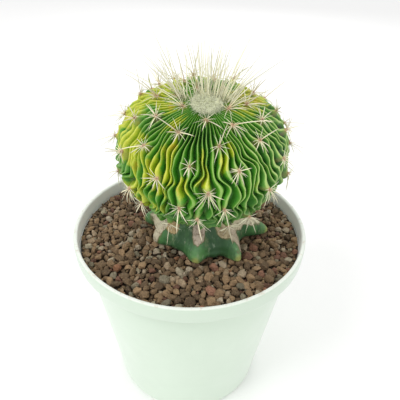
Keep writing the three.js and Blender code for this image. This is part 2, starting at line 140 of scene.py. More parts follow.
def corners(mesh, what="co"):
    places = np.empty(len(mesh.vertices) * 3)
    mesh.vertices.foreach_get(what, places)
    return places.reshape(-1, 3)


def set_corners(mesh, places):
    mesh.vertices.foreach_set("co", np.asarray(places, float).ravel())
    mesh.update()


def paint(mesh, **layers):
    """Keeps numbers or vectors for the vertices, which the piece's material reads by name."""
    for name, values in layers.items():
        values = np.asarray(values, np.float32)
        kind, key = ("FLOAT", "value") if values.ndim == 1 else ("FLOAT_VECTOR", "vector")
        mesh.attributes.new(name, kind, "POINT").data.foreach_set(key, values.ravel())


def mesh_from(bm, name):
    mesh = bpy.data.meshes.new(name)
    bm.to_mesh(mesh)
    bm.free()
    return mesh


def turned(section, steps, name):
    """A section of (radius, height) points spun once round the Z axis and merged."""
    bm = bmesh.new()
    line = [bm.verts.new((x, 0, z)) for x, z in section]
    edges = [bm.edges.new(pair) for pair in zip(line, line[1:])]
    bmesh.ops.spin(
        bm, geom=line + edges, cent=(0, 0, 0), axis=(0, 0, 1), angle=TURN, steps=steps,
        use_merge=True,
    )
    bmesh.ops.remove_doubles(bm, verts=bm.verts, dist=1e-7)
    bmesh.ops.recalc_face_normals(bm, faces=bm.faces)
    return mesh_from(bm, name)


def copies(shape, count, name):
    """One mesh of count copies of a small shape, one after another, still in one place."""
    whole = bmesh.new()
    block = shape.copy()
    while count:
        if count % 2:
            whole.from_mesh(block)
        count //= 2
        if count:
            twice = bmesh.new()
            twice.from_mesh(block)
            twice.from_mesh(block)
            twice.to_mesh(block)
            twice.free()
    bpy.data.meshes.remove(block)
    return mesh_from(whole, name)


def finished(mesh, name, material, slot_name, *nodes, smooth=True):
    """Makes the piece's object at the origin and ties it to the frame."""
    mesh.name = name
    mesh.polygons.foreach_set("use_smooth", [smooth] * len(mesh.polygons))
    mesh.materials.clear()
    mesh.materials.append(material)
    mesh.update()
    piece = bpy.data.objects.new(name, mesh)
    bpy.context.scene.collection.objects.link(piece)
    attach(piece, "root")
    if nodes:
        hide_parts(*nodes)


# ---------------------------------------------------------------- material helpers


class Signal:
    """What a node gives out: it adds, subtracts and multiplies with numbers and other signals."""

    def __init__(self, nodes, socket):
        self.nodes, self.socket = nodes, socket

    def __add__(self, other):
        return self.nodes.math("ADD", self, other)

    def __sub__(self, other):
        return self.nodes.math("SUBTRACT", self, other)

    def __mul__(self, other):
        return self.nodes.math("MULTIPLY", self, other)

    def span(self, low, high, to_low=0.0, to_high=1.0):
        """Goes smoothly from to_low to to_high while the signal goes from low to high."""
        links = {"Value": self, "From Min": low, "From Max": high, "To Min": to_low, "To Max": to_high}
        return self.nodes.give("ShaderNodeMapRange", "Result", links, interpolation_type="SMOOTHSTEP")


class Nodes:
    """Adds and links the nodes of one material or node group; place is where noise is read."""

    def __init__(self, tree, place=None):
        self.tree, self.place = tree, place

    def add(self, kind, links=(), **settings):
        made = self.tree.nodes.new(kind)
        for name, value in settings.items():
            setattr(made, name, value)
        for socket, value in dict(links).items():
            self.put(made, socket, value)
        return made

    def put(self, made, socket, value):
        target = made.inputs[socket]
        value = getattr(value, "socket", value)
        if isinstance(value, bpy.types.NodeSocket):
            self.tree.links.new(value, target)
        elif isinstance(value, tuple) and len(value) == 3 and target.type == "RGBA":
            target.default_value = (*value, 1)
        else:
            target.default_value = value

    def give(self, kind, output, links=(), **settings):
        """One output of a new node."""
        return Signal(self, self.add(kind, links, **settings).outputs[output])

    def math(self, operation, first, second, clamp=False):
        return self.give("ShaderNodeMath", 0, {0: first, 1: second}, operation=operation, use_clamp=clamp)

    def noise(self, scale, detail, roughness, place=None):
        links = {"Vector": place or self.place, "Scale": scale, "Detail": detail, "Roughness": roughness}
        return self.give("ShaderNodeTexNoise", "Fac", links)

    def mix(self, share, first, second, blend="MIX"):
        links = {0: share, 6: first, 7: second}
        return self.give("ShaderNodeMix", 2, links, data_type="RGBA", blend_type=blend)

    def layered(self, colour, *coats):
        """A colour with coats over it, each given as its share and its colour."""
        for share, coat in coats:
            colour = self.mix(share, colour, coat)
        return colour

    def ramp(self, value, *stops):
        made = self.add("ShaderNodeValToRGB", {"Fac": value})
        band = made.color_ramp
        while len(band.elements) < len(stops):
            band.elements.new(0.5)
        for element, (place, colour) in zip(band.elements, stops):
            element.position = place
            element.color = (*colour, 1)
        return Signal(self, made.outputs["Color"])

    def attribute(self, name, output="Fac"):
        return self.give("ShaderNodeAttribute", output, attribute_name=name)

    def bump(self, height, distance, strength):
        links = {"Height": height, "Distance": distance, "Strength": strength}
        return self.give("ShaderNodeBump", "Normal", links)

    def blotched(self, colour, blotch, scale, amount):
        links = {"Vector": self.place, "Colour": colour, "Blotch": blotch, "Scale": scale, "Amount": amount}
        return self.give("ShaderNodeGroup", "Colour", links, node_tree=blotch_group())


class MaterialNodes(Nodes):
    """The nodes of a new material with one Principled shader."""

    def __init__(self, name):
        self.material = bpy.data.materials.new(name)
        self.material.use_nodes = True
        super().__init__(self.material.node_tree)
        self.tree.nodes.clear()
        self.shader = self.add("ShaderNodeBsdfPrincipled")
        self.add("ShaderNodeOutputMaterial", {"Surface": self.shader.outputs[0]}).is_active_output = True
        self.place = self.give("ShaderNodeTexCoord", "Object")

    def fed(self, **sockets):
        """The material, with its shader's sockets given these values and signals."""
        for socket, value in sockets.items():
            self.put(self.shader, socket.replace("_", " "), value)
        return self.material


def group(name, inputs, build):
    """A node group made once, with one colour output; an input of None is a vector."""
    known = bpy.data.node_groups.get(name)
    if known:
        return known
    tree = bpy.data.node_groups.new(name, "ShaderNodeTree")
    kinds = {tuple: "NodeSocketColor", float: "NodeSocketFloat", type(None): "NodeSocketVector"}
    for label, value in inputs.items():
        socket = tree.interface.new_socket(label, in_out="INPUT", socket_type=kinds[type(value)])
        if value is not None:
            socket.default_value = (*value, 1) if isinstance(value, tuple) else value
    tree.interface.new_socket("Colour", in_out="OUTPUT", socket_type="NodeSocketColor")
    nodes = Nodes(tree)
    entry = {socket.name: Signal(nodes, socket) for socket in nodes.add("NodeGroupInput").outputs}
    nodes.add("NodeGroupOutput", {"Colour": build(nodes, entry)})
    return tree


def blotch_group():
    """Soft two-scale blotches between two colours."""

    def build(nodes, entry):
        broad = nodes.noise(entry["Scale"], 3, 0.55, entry["Vector"])
        fine = nodes.noise(entry["Scale"] * 4.7, 3, 0.6, entry["Vector"])
        share = (broad * 0.62 + fine * 0.38).span(0.36, 0.64)
        share = nodes.math("MULTIPLY", share, entry["Amount"], clamp=True)
        return nodes.mix(share, entry["Colour"], entry["Blotch"])

    grey, dark = (0.5, 0.5, 0.5), (0.3, 0.3, 0.3)
    inputs = {"Vector": None, "Colour": grey, "Blotch": dark, "Scale": 200.0, "Amount": 0.5}
    return group("mottle", inputs, build)


def fibre_group():
    """Colour along a spine or hair: base, body and tip, each fibre a little its own tone."""

    def build(nodes, entry):
        root, end = entry["Along"].span(0.0, 0.3), entry["Along"].span(0.72, 1.0)
        colour = nodes.layered(entry["Base"], (root, entry["Body"]), (end, entry["Tip"]))
        tone = entry["Tone"].span(0, 1, 0.74, 1.12)
        even = nodes.give("ShaderNodeCombineColor", 0, {0: tone, 1: tone, 2: tone})
        return nodes.mix(1.0, colour, even, "MULTIPLY")

    inputs = {
        "Along": 0.0, "Tone": 0.5, "Base": (0.5, 0.4, 0.3), "Body": (0.8, 0.8, 0.6), "Tip": (0.6, 0.5, 0.4),
    }
    return group("fibre_tone", inputs, build)


# ---------------------------------------------------------------- the settings


def size_of(label, text, default):
    return bpy.props.FloatProperty(
        name=label, description=text, default=default, min=0, subtype="DISTANCE", unit="LENGTH",
        precision=4,
    )


def colour_of(label, text, default):
    return bpy.props.FloatVectorProperty(
        name=label, description=text, default=default, size=3, min=0, max=1, subtype="COLOR",
    )


def count_of(label, text, default, least):
    return bpy.props.IntProperty(name=label, description=text, default=default, min=least)


class CactusPotSettings(bpy.types.PropertyGroup):
    steps: count_of("Pot steps", "How many flats make the pot's round", 180, 24)
    plastic: colour_of("Plastic", "Colour of the pot", srgb(215, 232, 213))


class CactusGritSettings(bpy.types.PropertyGroup):
    smallest: size_of("Smallest grain", "Width of the smallest grains", 1.2 * MM)
    largest: size_of("Largest grain", "Width of the largest grains", 4.7 * MM)
    seed: count_of("Grit seed", "Another number scatters the grit anew", 7, 0)
    brown: colour_of("Brown grit", "Main colour of the grit", srgb(138, 113, 84))
    red: colour_of("Red grit", "Colour of the reddish grains", srgb(134, 96, 76))
    grey: colour_of("Grey grit", "Colour of the grey grains", srgb(150, 140, 116))


class CactusPlantSettings(bpy.types.PropertyGroup):
    spine_width: size_of("Spine width", "Width of the broad papery spines", 0.44 * MM)
    radial_width: size_of("Fine spine width", "Width of the thin side spines", 0.26 * MM)
    green: colour_of("Green skin", "Colour of the green ribs' flanks", srgb(70, 148, 38))
    yellow: colour_of("Yellow skin", "Colour of the yellow ribs' flanks", srgb(160, 186, 26))
    stock_green: colour_of("Stock skin", "Colour of the grafting stock", srgb(86, 142, 80))
    straw: colour_of("Spines", "Colour of the papery spines", srgb(240, 234, 200))


class CactusStudioSettings(bpy.types.PropertyGroup):
    floor: colour_of("Floor", "Colour of the floor", (0.96, 0.96, 0.955))
    surround: bpy.props.FloatProperty(
        name="Surround light", description="Strength of the even light all round", default=0.88, min=0
    )


# ---------------------------------------------------------------- pot

DRAIN_HOLES = 6
DRAIN_HOLE_FLATS = 32
DRAIN_HOLE_RADIUS = 4.0
DRAIN_RING_RADIUS = 21.0
POT_FLOOR = 3.2
POT_SHARPEST_ROUND = math.radians(32)


def arc_points(centre, radius, start, end, steps):
    cx, cz = centre
    angles = [math.radians(start + (end - start) * i / steps) for i in range(steps + 1)]
    return [(cx + radius * math.cos(a), cz + radius * math.sin(a)) for a in angles]


def pot_section():
    """The pot's wall in section, from the middle of its underside out, up and back in."""
    under = [
        (0, 0.25), (11.4, 0.25), (12, 0.4), (12.4, 1.5), (29.4, 1.5), (29.9, 1.2), (30.1, 0.3), (30.5, 0),
    ]
    corner = arc_points((34, 2.5), 2.5, -90, -6, 6)
    wall = [
        (37.1, 8), (38.6, 18), (40.1, 28), (41.6, 38), (43.1, 48), (44.6, 58), (46.0, 68), (46.9, 78),
        (47, 80.4),
    ]
    shoulder = [(47.3, 80.9), (48, 81.15), (50.6, 81.5), (51.5, 81.8), (52, 82.4), (52.2, 83.2)]
    band = [(52.3, 85), (52.42, 87), (52.5, 88.6)]
    lip = arc_points((51.55, 88.9), 0.95, 0, 180, 10)[1:]
    inner_band = [
        (50.5, 88), (50.4, 85), (50.2, 83.3), (49.6, 82.7), (46.4, 82.3), (45.8, 81.9), (45.55, 81.2),
    ]
    inner_wall = [(45.2, 74), (43.6, 60), (41.4, 45), (39.1, 30), (36.8, 15), (35.4, 6), (34.6, 4)]
    floor = [(33.4, POT_FLOOR), (28, POT_FLOOR), (0, POT_FLOOR)]
    outline = under + corner + wall + shoulder + band + lip + inner_band + inner_wall + floor
    return [(x * MM, z * MM) for x, z in outline]


def drain_holes(shell):
    """Cuts the ring of drain holes through the pot's floor."""
    bm = bmesh.new()
    for i in range(DRAIN_HOLES):
        x, y, z = ring(TURN * (i + 0.5) / DRAIN_HOLES, DRAIN_RING_RADIUS, 2.0) * MM
        bmesh.ops.create_cone(
            bm, cap_ends=True, segments=DRAIN_HOLE_FLATS, radius1=DRAIN_HOLE_RADIUS * MM,
            radius2=DRAIN_HOLE_RADIUS * MM, depth=8 * MM, matrix=Matrix.Translation((x, y, z)),
        )
    cutter = bpy.data.objects.new("drain_cutter", mesh_from(bm, "drain_cutter"))
    body = bpy.data.objects.new("drain_body", shell)
    for o in (cutter, body):
        bpy.context.scene.collection.objects.link(o)
    cut = body.modifiers.new("drain", "BOOLEAN")
    cut.operation = "DIFFERENCE"
    cut.solver = "EXACT"
    cut.object = cutter
    bpy.context.view_layer.update()
    drilled = bpy.data.meshes.new_from_object(body.evaluated_get(bpy.context.evaluated_depsgraph_get()))
    for o in (cutter, body):
        old = o.data
        bpy.data.objects.remove(o)
        bpy.data.meshes.remove(old)
    return drilled


def smooth_by_angle(mesh, sharpest):
    """Rounds the shading except over edges sharper than the angle."""
    bm = bmesh.new()
    bm.from_mesh(mesh)
    for edge in bm.edges:
        edge.smooth = len(edge.link_faces) != 2 or edge.calc_face_angle(0) < sharpest
    bm.to_mesh(mesh)
    bm.free()
    mesh.update()


def plastic_material(colour):
    nodes = MaterialNodes("pot_white_plastic")
    height = nodes.give("ShaderNodeSeparateXYZ", "Z", {"Vector": nodes.place})
    # Faint tan patches in noise along the top of the lip.
    tan_lip_patches = nodes.noise(420, 3, 0.6).span(0.5, 0.78) * height.span(88.9 * MM, 90 * MM) * 0.5
    base = nodes.layered(
        nodes.blotched(colour, shade(colour, 0.955), 34.0, 0.6),
        # Darker towards the top of the wall and band: painted shade.
        (height.span(52 * MM, 84 * MM, 0, 0.5), shade(colour, 0.9)),
        # A lighter band over the top of the lip: painted highlight.
        (height.span(89.2 * MM, 89.8 * MM), srgb(240, 246, 236)),
        # The inner wall above the grit painted near white: painted light where it sits in shade.
        (nodes.attribute("inside"), srgb(246, 250, 242)),
        (tan_lip_patches, srgb(196, 172, 140)),
    )
    return nodes.fed(
        Base_Color=base,
        Roughness=nodes.noise(60, 2, 0.5).span(0.3, 0.7, 0.34, 0.46),
        Normal=nodes.bump(nodes.noise(900, 2, 0.5), 0.02 * MM, 0.4),
        Sheen_Weight=0.5,
        Sheen_Roughness=0.45,
    )


class CACTUS_OT_pot(bpy.types.Operator):
    """Builds the white nursery pot with its rolled lip, foot ring and drain holes"""

    bl_idname = "cactus.pot"
    bl_label = "Build pot"

    def execute(self, context):
        values = context.scene.cactus_pot
        shell = drain_holes(turned(pot_section(), values.steps, "pot_shell"))
        shell.update()
        places = corners(shell)
        # Marks the inner wall high up, which the plastic paints lighter as painted light against its shade.
        inward = -np.sum(corners(shell, "normal") * unit(places * (1, 1, 0)), axis=1)
        paint(shell, inside=smoothstep(inward, -0.1, 0.5) * (places[:, 2] > 60 * MM))
        finished(shell, "pot_shell", plastic_material(tuple(values.plastic)), "pot_plastic", "pot")
        smooth_by_angle(shell, POT_SHARPEST_ROUND)
        return {"FINISHED"}


# ---------------------------------------------------------------- grit

GRIT_LEVEL = 84.2
GRIT_EDGE = 50.0
BED_TOP = 82.9
BED_STEPS = 120
BED_SINK = 0.36
# The bed's place on its own dark colour ramp: the whole bed is painted shade between the grains.
BED_SHADE_TONE = 0.12
STOCK_CENTRE = (5.0, 3.0)
UNDER_STOCK = 12.5
# Width of a gap round the stock's edge kept free of grains, where the dark bed shows as painted shadow.
MOAT = 0.7

# Grains: tries to place one, how fast their size falls from the largest, the share of their
# width that they are kept apart by, how close two may come in that, how steeply they pile,
# how far they tilt in radians, and the highest lift of a grain against the stock
GRAIN_TRIES = 60000
GRAIN_FALL = 4.6
GRAIN_REACH = 0.42
GRAIN_CLOSEST = 0.84
GRAIN_PILE = 0.3
GRAIN_TILT = 0.35
EDGE_LIFT = 0.6

# A grain's flats, the steepest that one is cut, the block's reach and how rough it is, and
# the shortest and longest of its width and height as shares of its length
GRAIN_FLATS = 6
FLAT_SLANT = 0.12
GRAIN_CORNER = 1.12
GRAIN_ROUGHNESS = 0.075
GRAIN_WIDTHS = (0.58, 0.98)
GRAIN_HEIGHTS = (0.48, 0.8)

CREAM_GRAIN = srgb(186, 172, 148)

# Piece, setting, share of the grains, dark and light factor, and the lightest colour
GRIT_KINDS = (
    ("grit_brown", "brown", 0.8, 0.42, 1.62, CREAM_GRAIN),
    ("grit_red", "red", 0.09, 0.5, 1.6, srgb(158, 112, 78)),
    ("grit_grey", "grey", 0.11, 0.5, 1.5, CREAM_GRAIN),
)


def inner_radius(height):
    """The pot's inside at a height, with a little play for the grit bed."""
    heights = (0, POT_FLOOR, 6, 15, 30, 45, 60, 74, 82)
    radii = (33, 33.2, 35.2, 36.6, 38.9, 41.2, 43.4, 45, 45.3)
    return float(np.interp(height, heights, radii)) - 0.15


def bed_section():
    """The body of the grit under the loose grains: closed, and clear of the pot's wall."""
    base = POT_FLOOR + 0.1
    side = [(inner_radius(h), h) for h in (base, 6, 15, 30, 45, 60, 74, 82)]
    top = [(45.6, 82.5), (49.4, 82.9), (49.9, 83.4), (48.5, 83.1)]
    rings = [(r, BED_TOP) for r in range(44, -1, -4)]
    return [(r * MM, z * MM) for r, z in [(0, base)] + side + top + rings]


def stock_reach_at(angle):
    """How far the stock reaches over the grit in a direction, in millimetres."""
    reach, crest = stock_rib(angle)
    return STOCK_WAIST + crest * (reach - STOCK_WAIST)


def lift_over(x, y, size, others):
    """How far a grain is lifted by those that it leans on, or None where it has no room."""
    lift = 0.0
    for other_x, other_y, other_size, other_lift in others:
        gap = math.hypot(x - other_x, y - other_y)
        meet = GRAIN_REACH * (size + other_size)
        if gap < meet * GRAIN_CLOSEST:
            return None
        if gap < meet:
            lift = max(lift, other_lift + GRAIN_PILE * (meet - gap))
    return lift


def grain_spots(smallest, largest, seed):
    """Where the grains lie: large ones first, then smaller ones in the gaps."""
    draw = np.random.default_rng(seed)
    cells = {}
    spots = []
    for n in range(GRAIN_TRIES):
        angle = draw.uniform(-math.pi, math.pi)
        radius = math.sqrt(draw.uniform(0, 1)) * (GRIT_EDGE - 0.8)
        x, y = radius * math.cos(angle), radius * math.sin(angle)
        coarser = ramp_between(0.86, 1.14, float(smoothstep(-y, -30, 45)))
        share = (1 - n / GRAIN_TRIES) ** GRAIN_FALL
        size = (smallest + (largest - smallest) * share * draw.uniform(0.5, 1)) * coarser
        size = min(size, largest)
        dx, dy = x - STOCK_CENTRE[0], y - STOCK_CENTRE[1]
        off_stock = math.hypot(dx, dy)
        if radius + size * 0.46 > GRIT_EDGE or off_stock < UNDER_STOCK + 0.3 * size:
            continue
        column, row = int(x // largest), int(y // largest)
        around = [(column + i, row + j) for i in (-1, 0, 1) for j in (-1, 0, 1)]
        lift = lift_over(x, y, size, (spot for cell in around for spot in cells.get(cell, ())))
        if lift is None:
            continue
        past = off_stock - stock_reach_at(math.atan2(dy, dx))
        # Grains stay out of the gap round the stock's edge, so the dark bed shows there as painted shadow
        # under the stock.
        if past < 0.5 and lift > EDGE_LIFT or -MOAT < past - 0.4 * size < MOAT:
            continue
        spots.append((x, y, size, lift))
        cells.setdefault((column, row), []).append(spots[-1])
    return np.array(spots)


def grain_shape():
    """A small block with its faces split in nine, which each grain is cut from."""
    bm = bmesh.new()
    bmesh.ops.create_cube(bm, size=2)
    bmesh.ops.subdivide_edges(bm, edges=bm.edges, cuts=2, use_grid_fill=True)
    return mesh_from(bm, "grain_block")


def chips(block, count, draw):
    """Corner places of count chips: the block's directions cut by random flats."""
    ways = unit(block)
    flats = unit(draw.normal(size=(count, GRAIN_FLATS, 3)))
    depth = draw.uniform(0.5, 1.0, size=(count, GRAIN_FLATS))
    facing = np.einsum("nfk,vk->nfv", flats, ways)
    reach = depth[:, :, None] / np.maximum(facing, FLAT_SLANT)
    reach = np.where(facing > FLAT_SLANT, reach, np.inf)
    radius = np.minimum(reach.min(axis=1), GRAIN_CORNER)
    radius *= 1 + draw.normal(0, GRAIN_ROUGHNESS, size=radius.shape)
    width, height = (draw.uniform(*shares, count) for shares in (GRAIN_WIDTHS, GRAIN_HEIGHTS))
    stretch = np.stack([np.ones(count), width, height], 1)
    return ways[None] * radius[:, :, None] * stretch[:, None, :]


def random_turns(count, draw):
    """Turn matrices: any heading, and a small tilt."""
    heading = draw.uniform(0, TURN, count)
    lean = draw.normal(0, GRAIN_TILT, (count, 2))
    return np.array([
        Matrix.Rotation(a, 3, "X") @ Matrix.Rotation(b, 3, "Y") @ Matrix.Rotation(h, 3, "Z")
        for h, (a, b) in zip(heading, lean)
    ])


def stone_material(name, dark, main, light, accent):
    nodes = MaterialNodes(name)
    tone = nodes.attribute("grain_tone")
    base = nodes.ramp(tone, (0.0, dark), (0.42, main), (0.82, light), (1.0, accent))
    pores = nodes.noise(1500, 3, 0.62)
    fleck = nodes.noise(2100, 2, 0.5).span(0.6, 0.72, 0, 0.35)
    blotched = nodes.blotched(base, shade(dark, 0.45), 700.0, 0.4)
    return nodes.fed(
        Base_Color=nodes.mix(fleck, blotched, shade(light, 1.7)),
        Roughness=pores.span(0.3, 0.7, 0.78, 0.95),
        Normal=nodes.bump(pores * 0.5 + nodes.noise(480, 3, 0.6), 0.7 * MM, 1.0),
    )


class CACTUS_OT_grit(bpy.types.Operator):
    """Fills the pot with a bed and covers it with loose volcanic grains"""

    bl_idname = "cactus.grit"
    bl_label = "Build grit"

    def execute(self, context):
        values = context.scene.cactus_grit
        self.bed(tuple(values.brown))
        spots = grain_spots(values.smallest / MM, values.largest / MM, values.seed)
        draw = np.random.default_rng(values.seed + 1)
        block_mesh = grain_shape()
        block = corners(block_mesh)
        kinds = draw.choice(len(GRIT_KINDS), size=len(spots), p=[kind[2] for kind in GRIT_KINDS])
        for kind, (name, setting, _, dark, light, accent) in enumerate(GRIT_KINDS):
            x, y, size, lift = spots[kinds == kind].T
            count = len(x)
            shapes = chips(block, count, draw)
            turns = random_turns(count, draw)
            shapes = np.einsum("nij,nvj->nvi", turns, shapes) * (size[:, None, None] * 0.5)
            rest = BED_TOP + size * BED_SINK + lift + 0.25 * lumps(np.stack([x, y, x * 0], 1), 9, 3)
            shapes += np.stack([x, y, rest], 1)[:, None, :]
            mesh = copies(block_mesh, count, name)
            set_corners(mesh, shapes.reshape(-1, 3) * MM)
            paint(mesh, grain_tone=np.repeat(draw.uniform(0, 1, count), len(block)))
            colour = tuple(getattr(values, setting))
            stone = stone_material(name, shade(colour, dark), colour, shade(colour, light), accent)
            finished(mesh, name, stone, "volcanic_grit", smooth=False)
        bpy.data.meshes.remove(block_mesh)
        return {"FINISHED"}

    def bed(self, brown):
        mesh = turned(bed_section(), BED_STEPS, "grit_bed")
        places = corners(mesh)
        top = places[:, 2] > (BED_TOP - 0.01) * MM
        inside = smoothstep(-np.hypot(places[top, 0], places[top, 1]) / MM, -49, -47)
        places[top, 2] += 0.35 * MM * lumps(places[top] / MM, 2.6, 5) * inside
        set_corners(mesh, places)
        paint(mesh, grain_tone=np.full(len(places), BED_SHADE_TONE))
        # The bed is painted far darker than the grains: painted shade in the gaps between them and round the
        # stock.
        dark, main, light = (shade(brown, factor) for factor in (0.18, 0.3, 0.42))
        stone = stone_material("grit_bed", dark, main, light, light)
        finished(mesh, "grit_bed", stone, "volcanic_grit", "substrate")


# ---------------------------------------------------------------- stock

STOCK_TOP_Y = -2.5
STOCK_WAIST = 20.6
STOCK_STEPS = 240
CUT_EDGE, CUT_CORK = (15.5, 17.5), 0.8

# Bearing in degrees and reach of each rib
STOCK_RIBS = ((-151, 24), (-95, 26.5), (-57, 29.5), (-6, 31), (38, 27), (82, 26), (125, 26.5), (172, 27))

# Height over the grit, radius between two ribs, share of a rib's reach at its crest
STOCK_SECTION = (
    (-20, 8.5, 0), (-6, 13, 0), (-0.3, 14.2, 0), (0.8, 15, 0), (1.2, 17.5, 0.6), (2.2, STOCK_WAIST, 1),
    (4.4, 21.8, 0.96), (7.4, 20.8, 0.66), (11, 18.2, 0.3), (15, 15.5, 0.08), (19, 13.6, 0),
)
STOCK_LOW_RINGS = (-20, -12, -6, -2, -0.3, 0.4, 0.8, 1.0, 1.2, 1.5, 1.8, 2.2, 2.8)
STOCK_RINGS = (*STOCK_LOW_RINGS, *(3.4 + 0.6 * i for i in range(27)))

# The shallow valley between the two front ribs: its bearing, and how far it is filled
FULL_VALLEY, VALLEY_FILL = -76, 2.6

# Corky scars: bearing, height over the grit, half width in degrees, half height, tone from
# pinkish grey through cream to tan
STOCK_SCARS = (
    (-95.5, 14.6, 12.5, 5.0, 0.1), (-168, 9, 20, 9, 0.5), (-150, 7, 8, 8.5, 0.4),
    (-136, 13, 11, 3.6, 0.9), (-46, 10, 10, 7.5, 0.25), (-60, 15, 12, 4, 0.75), (-30, 13, 13, 4.4, 0.6),
    (-8, 12.5, 15, 5, 0.5), (30, 13, 17, 4.6, 0.5), (50, 8, 8, 6, 0.3), (86, 14, 20, 4.6, 0.8),
    (124, 11, 14, 7, 0.4), (150, 15, 14, 3, 0.7),
)


def stock_rib(angle):
    """Nearest rib's reach, and how close to its crest a direction is, from 0 to 1."""
    azimuths = [math.radians(a) for a, _ in STOCK_RIBS]
    angle = (angle - azimuths[0]) % TURN + azimuths[0]
    for i, start in enumerate(azimuths):
        end = azimuths[i + 1] if i + 1 < len(azimuths) else azimuths[0] + TURN
        if start <= angle <= end:
            part = (angle - start) / (end - start)
            reach = ramp_between(STOCK_RIBS[i][1], STOCK_RIBS[(i + 1) % len(STOCK_RIBS)][1], part)
            return reach, (0.5 + 0.5 * math.cos(TURN * part)) ** 2
    return STOCK_RIBS[0][1], 1.0


def stock_cork(azimuth, height):
    """How corky the stock is, over 0.5 inside a scar, and each scar's tone."""
    cork, cork_tone = np.zeros(len(height)), np.full(len(height), 0.7)
    for bearing, level, wide, high, tone in STOCK_SCARS:
        across = np.degrees(wrapped(azimuth - math.radians(bearing))) / wide
        near = np.clip(1.3 - np.hypot(across, (height - level) / high), 0, 1)
        cork_tone = np.where(near > cork, tone, cork_tone)
        cork = np.maximum(cork, near)
    return np.maximum(cork, CUT_CORK * smoothstep(height, *CUT_EDGE)), cork_tone


def stock_material(green):
    nodes = MaterialNodes("stock_skin")
    tall = nodes.give("ShaderNodeMapping", 0, {"Vector": nodes.place, "Scale": (1.0, 1.0, 0.22)})
    # Darker in the valleys, lighter on the rib crests: painted shade and painted highlight.
    skin = nodes.ramp(
        nodes.attribute("crest"),
        (0.0, shade(green, 0.5)), (0.4, green), (0.86, srgb(112, 162, 98)), (1.0, srgb(150, 186, 112)),
    )
    scar_tone = nodes.ramp(
        nodes.attribute("cork_tone"), (0.0, srgb(196, 180, 164)), (0.25, srgb(198, 184, 160)),
        (0.5, srgb(212, 206, 176)), (0.9, srgb(186, 162, 118)),
    )
    grain = nodes.noise(620, 4, 0.7)
    cork = nodes.layered(
        scar_tone,
        (grain.span(0.3, 0.55, 0.75, 0), srgb(116, 96, 72)),
        (grain.span(0.58, 0.75, 0, 0.6), srgb(232, 222, 198)),
    )
    frayed = (nodes.noise(420, 4, 0.65, tall) - 0.5) * 0.9
    uneven = (nodes.noise(140, 2, 0.5) - 0.5) * 1.1
    ragged = nodes.attribute("cork") + (frayed + uneven)
    scar = ragged.span(0.42, 0.52)
    rim = ragged.span(0.3, 0.42) * ragged.span(0.46, 0.6, 1, 0) * 0.5
    colour = nodes.layered(
        nodes.blotched(skin, srgb(54, 96, 60), 120.0, 0.5),
        (nodes.noise(95, 3, 0.6).span(0.52, 0.7, 0, 0.4), srgb(124, 154, 124)),
        (nodes.noise(170, 3, 0.6, tall).span(0.42, 0.58, 0.62, 0), srgb(34, 72, 42)),
        (nodes.noise(520, 4, 0.7, tall).span(0.56, 0.72, 0, 0.55), srgb(168, 186, 160)),
        (nodes.noise(260, 5, 0.75, tall).span(0.55, 0.68, 0, 0.5), srgb(128, 138, 96)),
        (nodes.attribute("rib_tip").span(0.2, 0.9, 0, 0.8), srgb(184, 190, 108)),
        (scar, cork),
        (rim, srgb(112, 104, 62)),
    )
    return nodes.fed(
        Base_Color=colour,
        Roughness=scar.span(0, 1, 0.5, 0.88),
        Normal=nodes.bump(grain * scar + nodes.noise(260, 3, 0.5) * 0.25, 0.5 * MM, 0.8),
    )


class CACTUS_OT_stock(bpy.types.Operator):
    """Builds the short ribbed grafting stock with corky cut shoulders"""

    bl_idname = "cactus.stock"
    bl_label = "Build stock"

    def execute(self, context):
        section = [(0, STOCK_RINGS[0])] + [(1, h) for h in STOCK_RINGS] + [(0, STOCK_RINGS[-1])]
        mesh = turned(section, STOCK_STEPS, "stock_skin")
        x, y, height = corners(mesh).T
        on_axis = np.hypot(x, y) < 0.5
        azimuth = np.arctan2(y, x)
        reach, crest = np.array([stock_rib(a) for a in azimuth]).T
        levels, radii, shares = zip(*STOCK_SECTION)
        valley = np.interp(height, levels, radii)
        valley = valley + VALLEY_FILL * (toward(azimuth, FULL_VALLEY, 8) * bell(height - 2, 4))
        share = np.interp(height, levels, shares)
        radius = valley + crest * share * (reach - valley)
        sides = ring(azimuth, 20, height)
        uneven = 0.5 * lumps(sides, 6, 1) + 0.22 * lumps(sides, 2.1, 14)
        radius += uneven * smoothstep(height, 0.5, 4) * smoothstep(-height, -18, -14)
        radius[on_axis] = 0
        places = ring(azimuth, radius, GRIT_LEVEL + height)
        places[:, 0] += STOCK_CENTRE[0]
        places[:, 1] += ramp_between(STOCK_CENTRE[1], STOCK_TOP_Y, smoothstep(height, 2, 19))
        set_corners(mesh, places * MM)
        cork, cork_tone = stock_cork(azimuth, height)
        tips = crest**7 * bell(height - 2.6, 2.2)
        # crest carries where the skin paints valley shade and crest highlight.
        paint(mesh, cork=cork, cork_tone=cork_tone, rib_tip=tips, crest=crest * share)
        skin = stock_material(tuple(context.scene.cactus_plant.stock_green))
        finished(mesh, "stock_skin", skin, "stock_skin", "rootstock")
        return {"FINISHED"}


# ---------------------------------------------------------------- globe

GLOBE_RADIUS = 36.0
GLOBE_HALF_HEIGHT = 25.5
GLOBE_CENTRE = np.array((4.5, 2.0, 128.0))
GLOBE_TURN = np.array(Matrix.Rotation(math.radians(18.5), 3, "X"))
GLOBE_CUT = 103.5
RIB_COUNT = 68
RIB_DEPTH = 4.4
RIB_SAMPLES = 10
PITCH = TURN / RIB_COUNT
SKIN_RINGS = 122
RIB_SHARPNESS = (1.15, 1.95)
AIM_PASSES = 6
CROWN_DIP = 1.8
CROWN_DIP_RADIUS = 9.0
RIB_FADE = (5, 24)
LEAST_RIB_FADE = 0.5
RELIEF_HALF_HEIGHT = 25
LEFT_SIDE = -165

